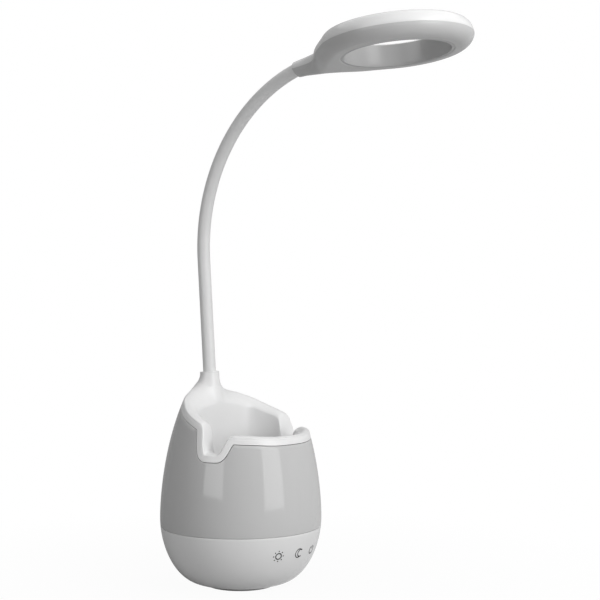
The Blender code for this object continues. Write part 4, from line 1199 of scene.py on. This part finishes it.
class LAMP_OT_base(Operator):
    """Build the bowl, the foot, the touch marks, the socket and the milky diffuser"""

    bl_idname = "desk_lamp.base"
    bl_label = "Base"

    def execute(self, context):
        colours = context.scene.lamp_colours
        white = finish("glossy_moulded_abs", colours.bowl_white)
        dressed(make_bowl(white), "base", "gloss_white", "base_bowl")
        make_foot(finish("moulded_soft_rubber", colours.rubber))
        make_marks(finish("pad_printed_ink", colours.ink))
        make_socket(zinc_steel(colours.steel), finish("moulded_black_nylon", colours.tray),
                    finish("gold_plated_contact", colours.gold))
        make_diffuser(finish("opal_moulded_polycarbonate", colours.opal_grey), rim_table())
        return {"FINISHED"}


class LAMP_OT_cup(Operator):
    """Build the pen cup with its wavy rim, phone notches and neck collar"""

    bl_idname = "desk_lamp.cup"
    bl_label = "Pen cup"

    def execute(self, context):
        white = finish("satin_moulded_abs", context.scene.lamp_colours.liner_white)
        make_cup(white, rim_table())
        return {"FINISHED"}


class LAMP_OT_neck(Operator):
    """Build the silicone sleeve of the gooseneck"""

    bl_idname = "desk_lamp.neck"
    bl_label = "Gooseneck"

    def execute(self, context):
        make_neck(finish("extruded_silicone", context.scene.lamp_colours.silicone))
        return {"FINISHED"}


class LAMP_OT_head(Operator):
    """Build the upper shell and the light cover of the ring head"""

    bl_idname = "desk_lamp.head"
    bl_label = "Ring head"

    def execute(self, context):
        colours = context.scene.lamp_colours
        make_head_top(finish("glossy_moulded_abs", colours.abs_white),
                      # The hole's wall gets the milky cover's finish in a darker grey, which is
                      # painted shade
                      finish("opal_acrylic_cover", colours.hole))
        make_head_lens(finish("opal_acrylic_cover", colours.lens))
        return {"FINISHED"}


class LAMP_OT_inner(Operator):
    """Give the screws, weight, cell, boards and lights inside the lamp their finishes"""

    bl_idname = "desk_lamp.inner"
    bl_label = "Inner pieces"

    def execute(self, context):
        colours = context.scene.lamp_colours
        # Inner pieces keep the frame's shapes, so only their finishes are set
        for material, stems in (
                (finish("glossy_moulded_abs", colours.abs_white), ("base_cover",)),
                (zinc_steel(colours.steel),
                 ("cover_screw_", "ballast_weight", "touch_pad_", "cup_screw_",
                  "neck_ferrule", "neck_nut", "head_clamp")),
                (wound_steel(colours.steel), ("neck_core_",)),
                (board_laminate(colours.laminate, colours.gold),
                 ("main_board", "touch_strip", "mood_board", "head_board")),
                (finish("pvc_shrink_sleeve", colours.sleeve_blue), ("battery_cell",)),
                (finish("moulded_black_nylon", colours.tray), ("battery_tray",)),
                (finish("cast_phosphor_resin", colours.phosphor),
                 ("mood_led_", "head_led_"))):
            for name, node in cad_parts.items():
                if name.startswith(stems):
                    for slot in node.material_slots:
                        slot.material = material
        return {"FINISHED"}


def add_softbox(name, place, aim, size, power):
    """Rectangular soft light, which neither the camera nor reflections show."""
    light = bpy.data.lights.new(name, "AREA")
    light.shape = "RECTANGLE"
    light.size, light.size_y = size
    light.energy = power
    obj = bpy.data.objects.new(name, light)
    obj.location = place
    obj.rotation_euler = (Vector(aim) - Vector(place)).to_track_quat("-Z", "Y").to_euler()
    obj.visible_camera = False
    obj.visible_glossy = False
    bpy.context.scene.collection.objects.link(obj)


def studio_floor(tint):
    """Seamless painted floor: white to the eye, and a little darker in the lamp's shadow."""
    material, tree, shader = new_finish("matt_painted_floor", {"Roughness": 0.9})
    place = add_node(tree, "TexCoord").outputs["Object"]
    speck = add_node(tree, "TexNoise", {"Scale": per_mm(60.0), "Detail": 2.0},
                     {"Vector": place})
    paint = add_node(tree, "Mix",
                     {"data_type": "RGBA", 6: shade(tint), 7: shade(tint, 0.99)},
                     {0: speck.outputs["Fac"]})
    tree.links.new(paint.outputs[2], shader.inputs["Base Color"])
    white = add_node(tree, "Emission", {"Strength": 1.0})
    path = add_node(tree, "LightPath")
    seen = add_node(tree, "Math", {"operation": "MAXIMUM"},
                    {0: path.outputs["Is Camera Ray"],
                     1: path.outputs["Is Transmission Ray"]})
    far = add_node(tree, "VectorMath", {"operation": "LENGTH"}, {0: place})
    cover = add_node(tree, "MapRange",
                     {"From Min": 0.05, "From Max": 0.32, "To Min": 0.96, "To Max": 1.0},
                     {"Value": far.outputs["Value"]})
    amount = add_node(tree, "Math", {"operation": "MULTIPLY"},
                      {0: seen.outputs[0], 1: cover.outputs["Result"]})
    mixed = add_node(tree, "MixShader", {},
                     {0: amount.outputs[0], 1: shader.outputs["BSDF"],
                      2: white.outputs["Emission"]})
    output = tree.nodes["Material Output"]
    tree.links.new(mixed.outputs[0], output.inputs["Surface"])
    return material


def studio_wall(across):
    """Painted set that only reflections see: dark on one side, pale on the other."""
    material, tree, _ = new_finish("matt_painted_set", {"Roughness": 0.9})
    place = add_node(tree, "TexCoord").outputs["Object"]
    way = add_node(tree, "VectorMath", {"operation": "NORMALIZE"}, {0: place})
    side = add_node(tree, "VectorMath", {"operation": "DOT_PRODUCT", 1: across},
                    {0: way.outputs["Vector"]})
    strength = add_node(tree, "MapRange",
                        {"From Min": -1.0, "From Max": 1.0, "To Min": 0.10,
                         "To Max": 0.75}, {"Value": side.outputs["Value"]})
    glow = add_node(tree, "Emission", {"Color": (1.0, 1.0, 1.0, 1.0)},
                    {"Strength": strength.outputs["Result"]})
    tree.links.new(glow.outputs["Emission"], tree.nodes["Material Output"].inputs["Surface"])
    return material


def card_glow(strength):
    """Lit cloth of a softbox, as bright as its reflection on the lamp should be."""
    material, tree, _ = new_finish("lit_softbox_cloth", {"Roughness": 0.9})
    glow = add_node(tree, "Emission", {"Strength": strength})
    tree.links.new(glow.outputs["Emission"], tree.nodes["Material Output"].inputs["Surface"])
    return material


def only_reflected(obj):
    """Hide a piece of the set from everything but reflections."""
    for ray in ("camera", "diffuse", "shadow", "transmission", "volume_scatter"):
        setattr(obj, "visible_" + ray, False)


class LAMP_OT_stage(Operator):
    """Build the pale floor, the soft studio lights, the white room and the camera"""

    bl_idname = "desk_lamp.stage"
    bl_label = "Stage"

    def execute(self, context):
        scene = context.scene
        stage = scene.lamp_stage
        view = radians(-50.5)
        right = Vector((cos(view), sin(view), 0.0))
        toward = Vector((sin(view), -cos(view), 0.0))
        up = Vector((0.0, 0.0, 1.0))

        def way_at(angle):
            """Level direction at an angle to the right of the camera."""
            return toward * cos(radians(angle)) + right * sin(radians(angle))

        rings = turned([(r, 0.0) for r in (0.0, 0.4, 1.5, 6.0)], 72)
        floor = piece_from("studio_floor", *lofted(rings, closed=False),
                           studio_floor(stage.floor))
        floor.visible_glossy = False

        section = ((0.01, -0.002), (0.5, -0.002), (2.4, -0.002), (2.4, 1.0), (2.4, 2.2))
        wall = piece_from("studio_wall", *lofted(turned(section, 72), closed=False),
                          studio_wall(right))
        only_reflected(wall)
        for name, angle, distance, half, foot, strength in (
                ("key_card", 50.0, 1.1, 0.29, 0.02, 1.9),
                ("fill_card", -37.5, 1.2, 0.31, 0.12, 1.5)):
            corners = [way_at(angle) * distance + way_at(angle + 90.0) * side + up * z
                       for side, z in ((-half, foot), (half, foot), (half, 1.6), (-half, 1.6))]
            card = piece_from(name, corners, [(0, 1, 2, 3)], card_glow(strength))
            only_reflected(card)

        world = bpy.data.worlds.new("white_room")
        world.use_nodes = True
        tree = world.node_tree
        path = add_node(tree, "LightPath")
        seen = add_node(tree, "Math", {"operation": "MAXIMUM"},
                        {0: path.outputs["Is Camera Ray"], 1: path.outputs["Is Glossy Ray"]})
        seen = add_node(tree, "Math", {"operation": "MAXIMUM"},
                        {0: seen.outputs[0], 1: path.outputs["Is Transmission Ray"]})
        strength = add_node(tree, "MapRange", {"To Min": stage.room, "To Max": 1.0},
                            {"Value": seen.outputs[0]})
        background = tree.nodes["Background"]
        background.inputs["Color"].default_value = (1.0, 1.0, 1.0, 1.0)
        tree.links.new(strength.outputs["Result"], background.inputs["Strength"])
        scene.world = world

        aim = up * 0.17
        for name, place, size, power in (
                ("key_softbox", way_at(48.0) * 1.1 + up * 0.62, (0.5, 1.1), stage.key),
                ("fill_softbox", way_at(-34.0) * 1.2 + up * 0.5, (0.45, 0.9), stage.fill),
                ("top_softbox", up * 1.25 + right * 0.15, (0.9, 0.9), stage.top)):
            add_softbox(name, place, aim, size, power)

        camera_data = bpy.data.cameras.new("camera")
        camera_data.lens = stage.lens
        camera_data.sensor_width = 36.0
        # The level of the eye lies at row 277 of the picture's 600
        camera_data.shift_y = (277.0 - 300.0) / 600.0
        camera = bpy.data.objects.new("camera", camera_data)
        camera.location = toward * stage.distance + right * 0.0411 + up * 0.2133
        camera.rotation_euler = (radians(90.0), 0.0, view)
        scene.collection.objects.link(camera)
        scene.camera = camera
        scene.view_settings.view_transform = "Standard"
        return {"FINISHED"}


OPERATORS = (LAMP_OT_base, LAMP_OT_cup, LAMP_OT_neck, LAMP_OT_head, LAMP_OT_inner,
             LAMP_OT_stage)
SETTINGS = {
    "lamp_base": LampBaseSettings,
    "lamp_cup": LampCupSettings,
    "lamp_neck": LampNeckSettings,
    "lamp_head": LampHeadSettings,
    "lamp_colours": LampColourSettings,
    "lamp_stage": LampStageSettings,
}


class LAMP_PT_panel(Panel):
    """Sizes, colours and steps of the desk lamp"""

    bl_idname = "LAMP_PT_panel"
    bl_label = "Desk lamp with pen holder"
    bl_space_type = "VIEW_3D"
    bl_region_type = "UI"
    bl_category = "Desk Lamp"

    def draw(self, context):
        for operator in OPERATORS:
            self.layout.operator(operator.bl_idname)
        for name, group in SETTINGS.items():
            box = self.layout.box()
            box.label(text=group.__doc__.strip("."))
            for key in group.__annotations__:
                box.prop(getattr(context.scene, name), key,
                         text=key.replace("_", " ").capitalize())


def register():
    for name, group in SETTINGS.items():
        bpy.utils.register_class(group)
        setattr(bpy.types.Scene, name, PointerProperty(type=group))
    for operator in OPERATORS:
        bpy.utils.register_class(operator)
    bpy.utils.register_class(LAMP_PT_panel)


def unregister():
    bpy.utils.unregister_class(LAMP_PT_panel)
    for operator in reversed(OPERATORS):
        bpy.utils.unregister_class(operator)
    for name, group in SETTINGS.items():
        delattr(bpy.types.Scene, name)
        bpy.utils.unregister_class(group)


def main():
    register()
    for operator in OPERATORS:
        group, action = operator.bl_idname.split(".")
        getattr(getattr(bpy.ops, group), action)()


if __name__ == "__main__":
    main()
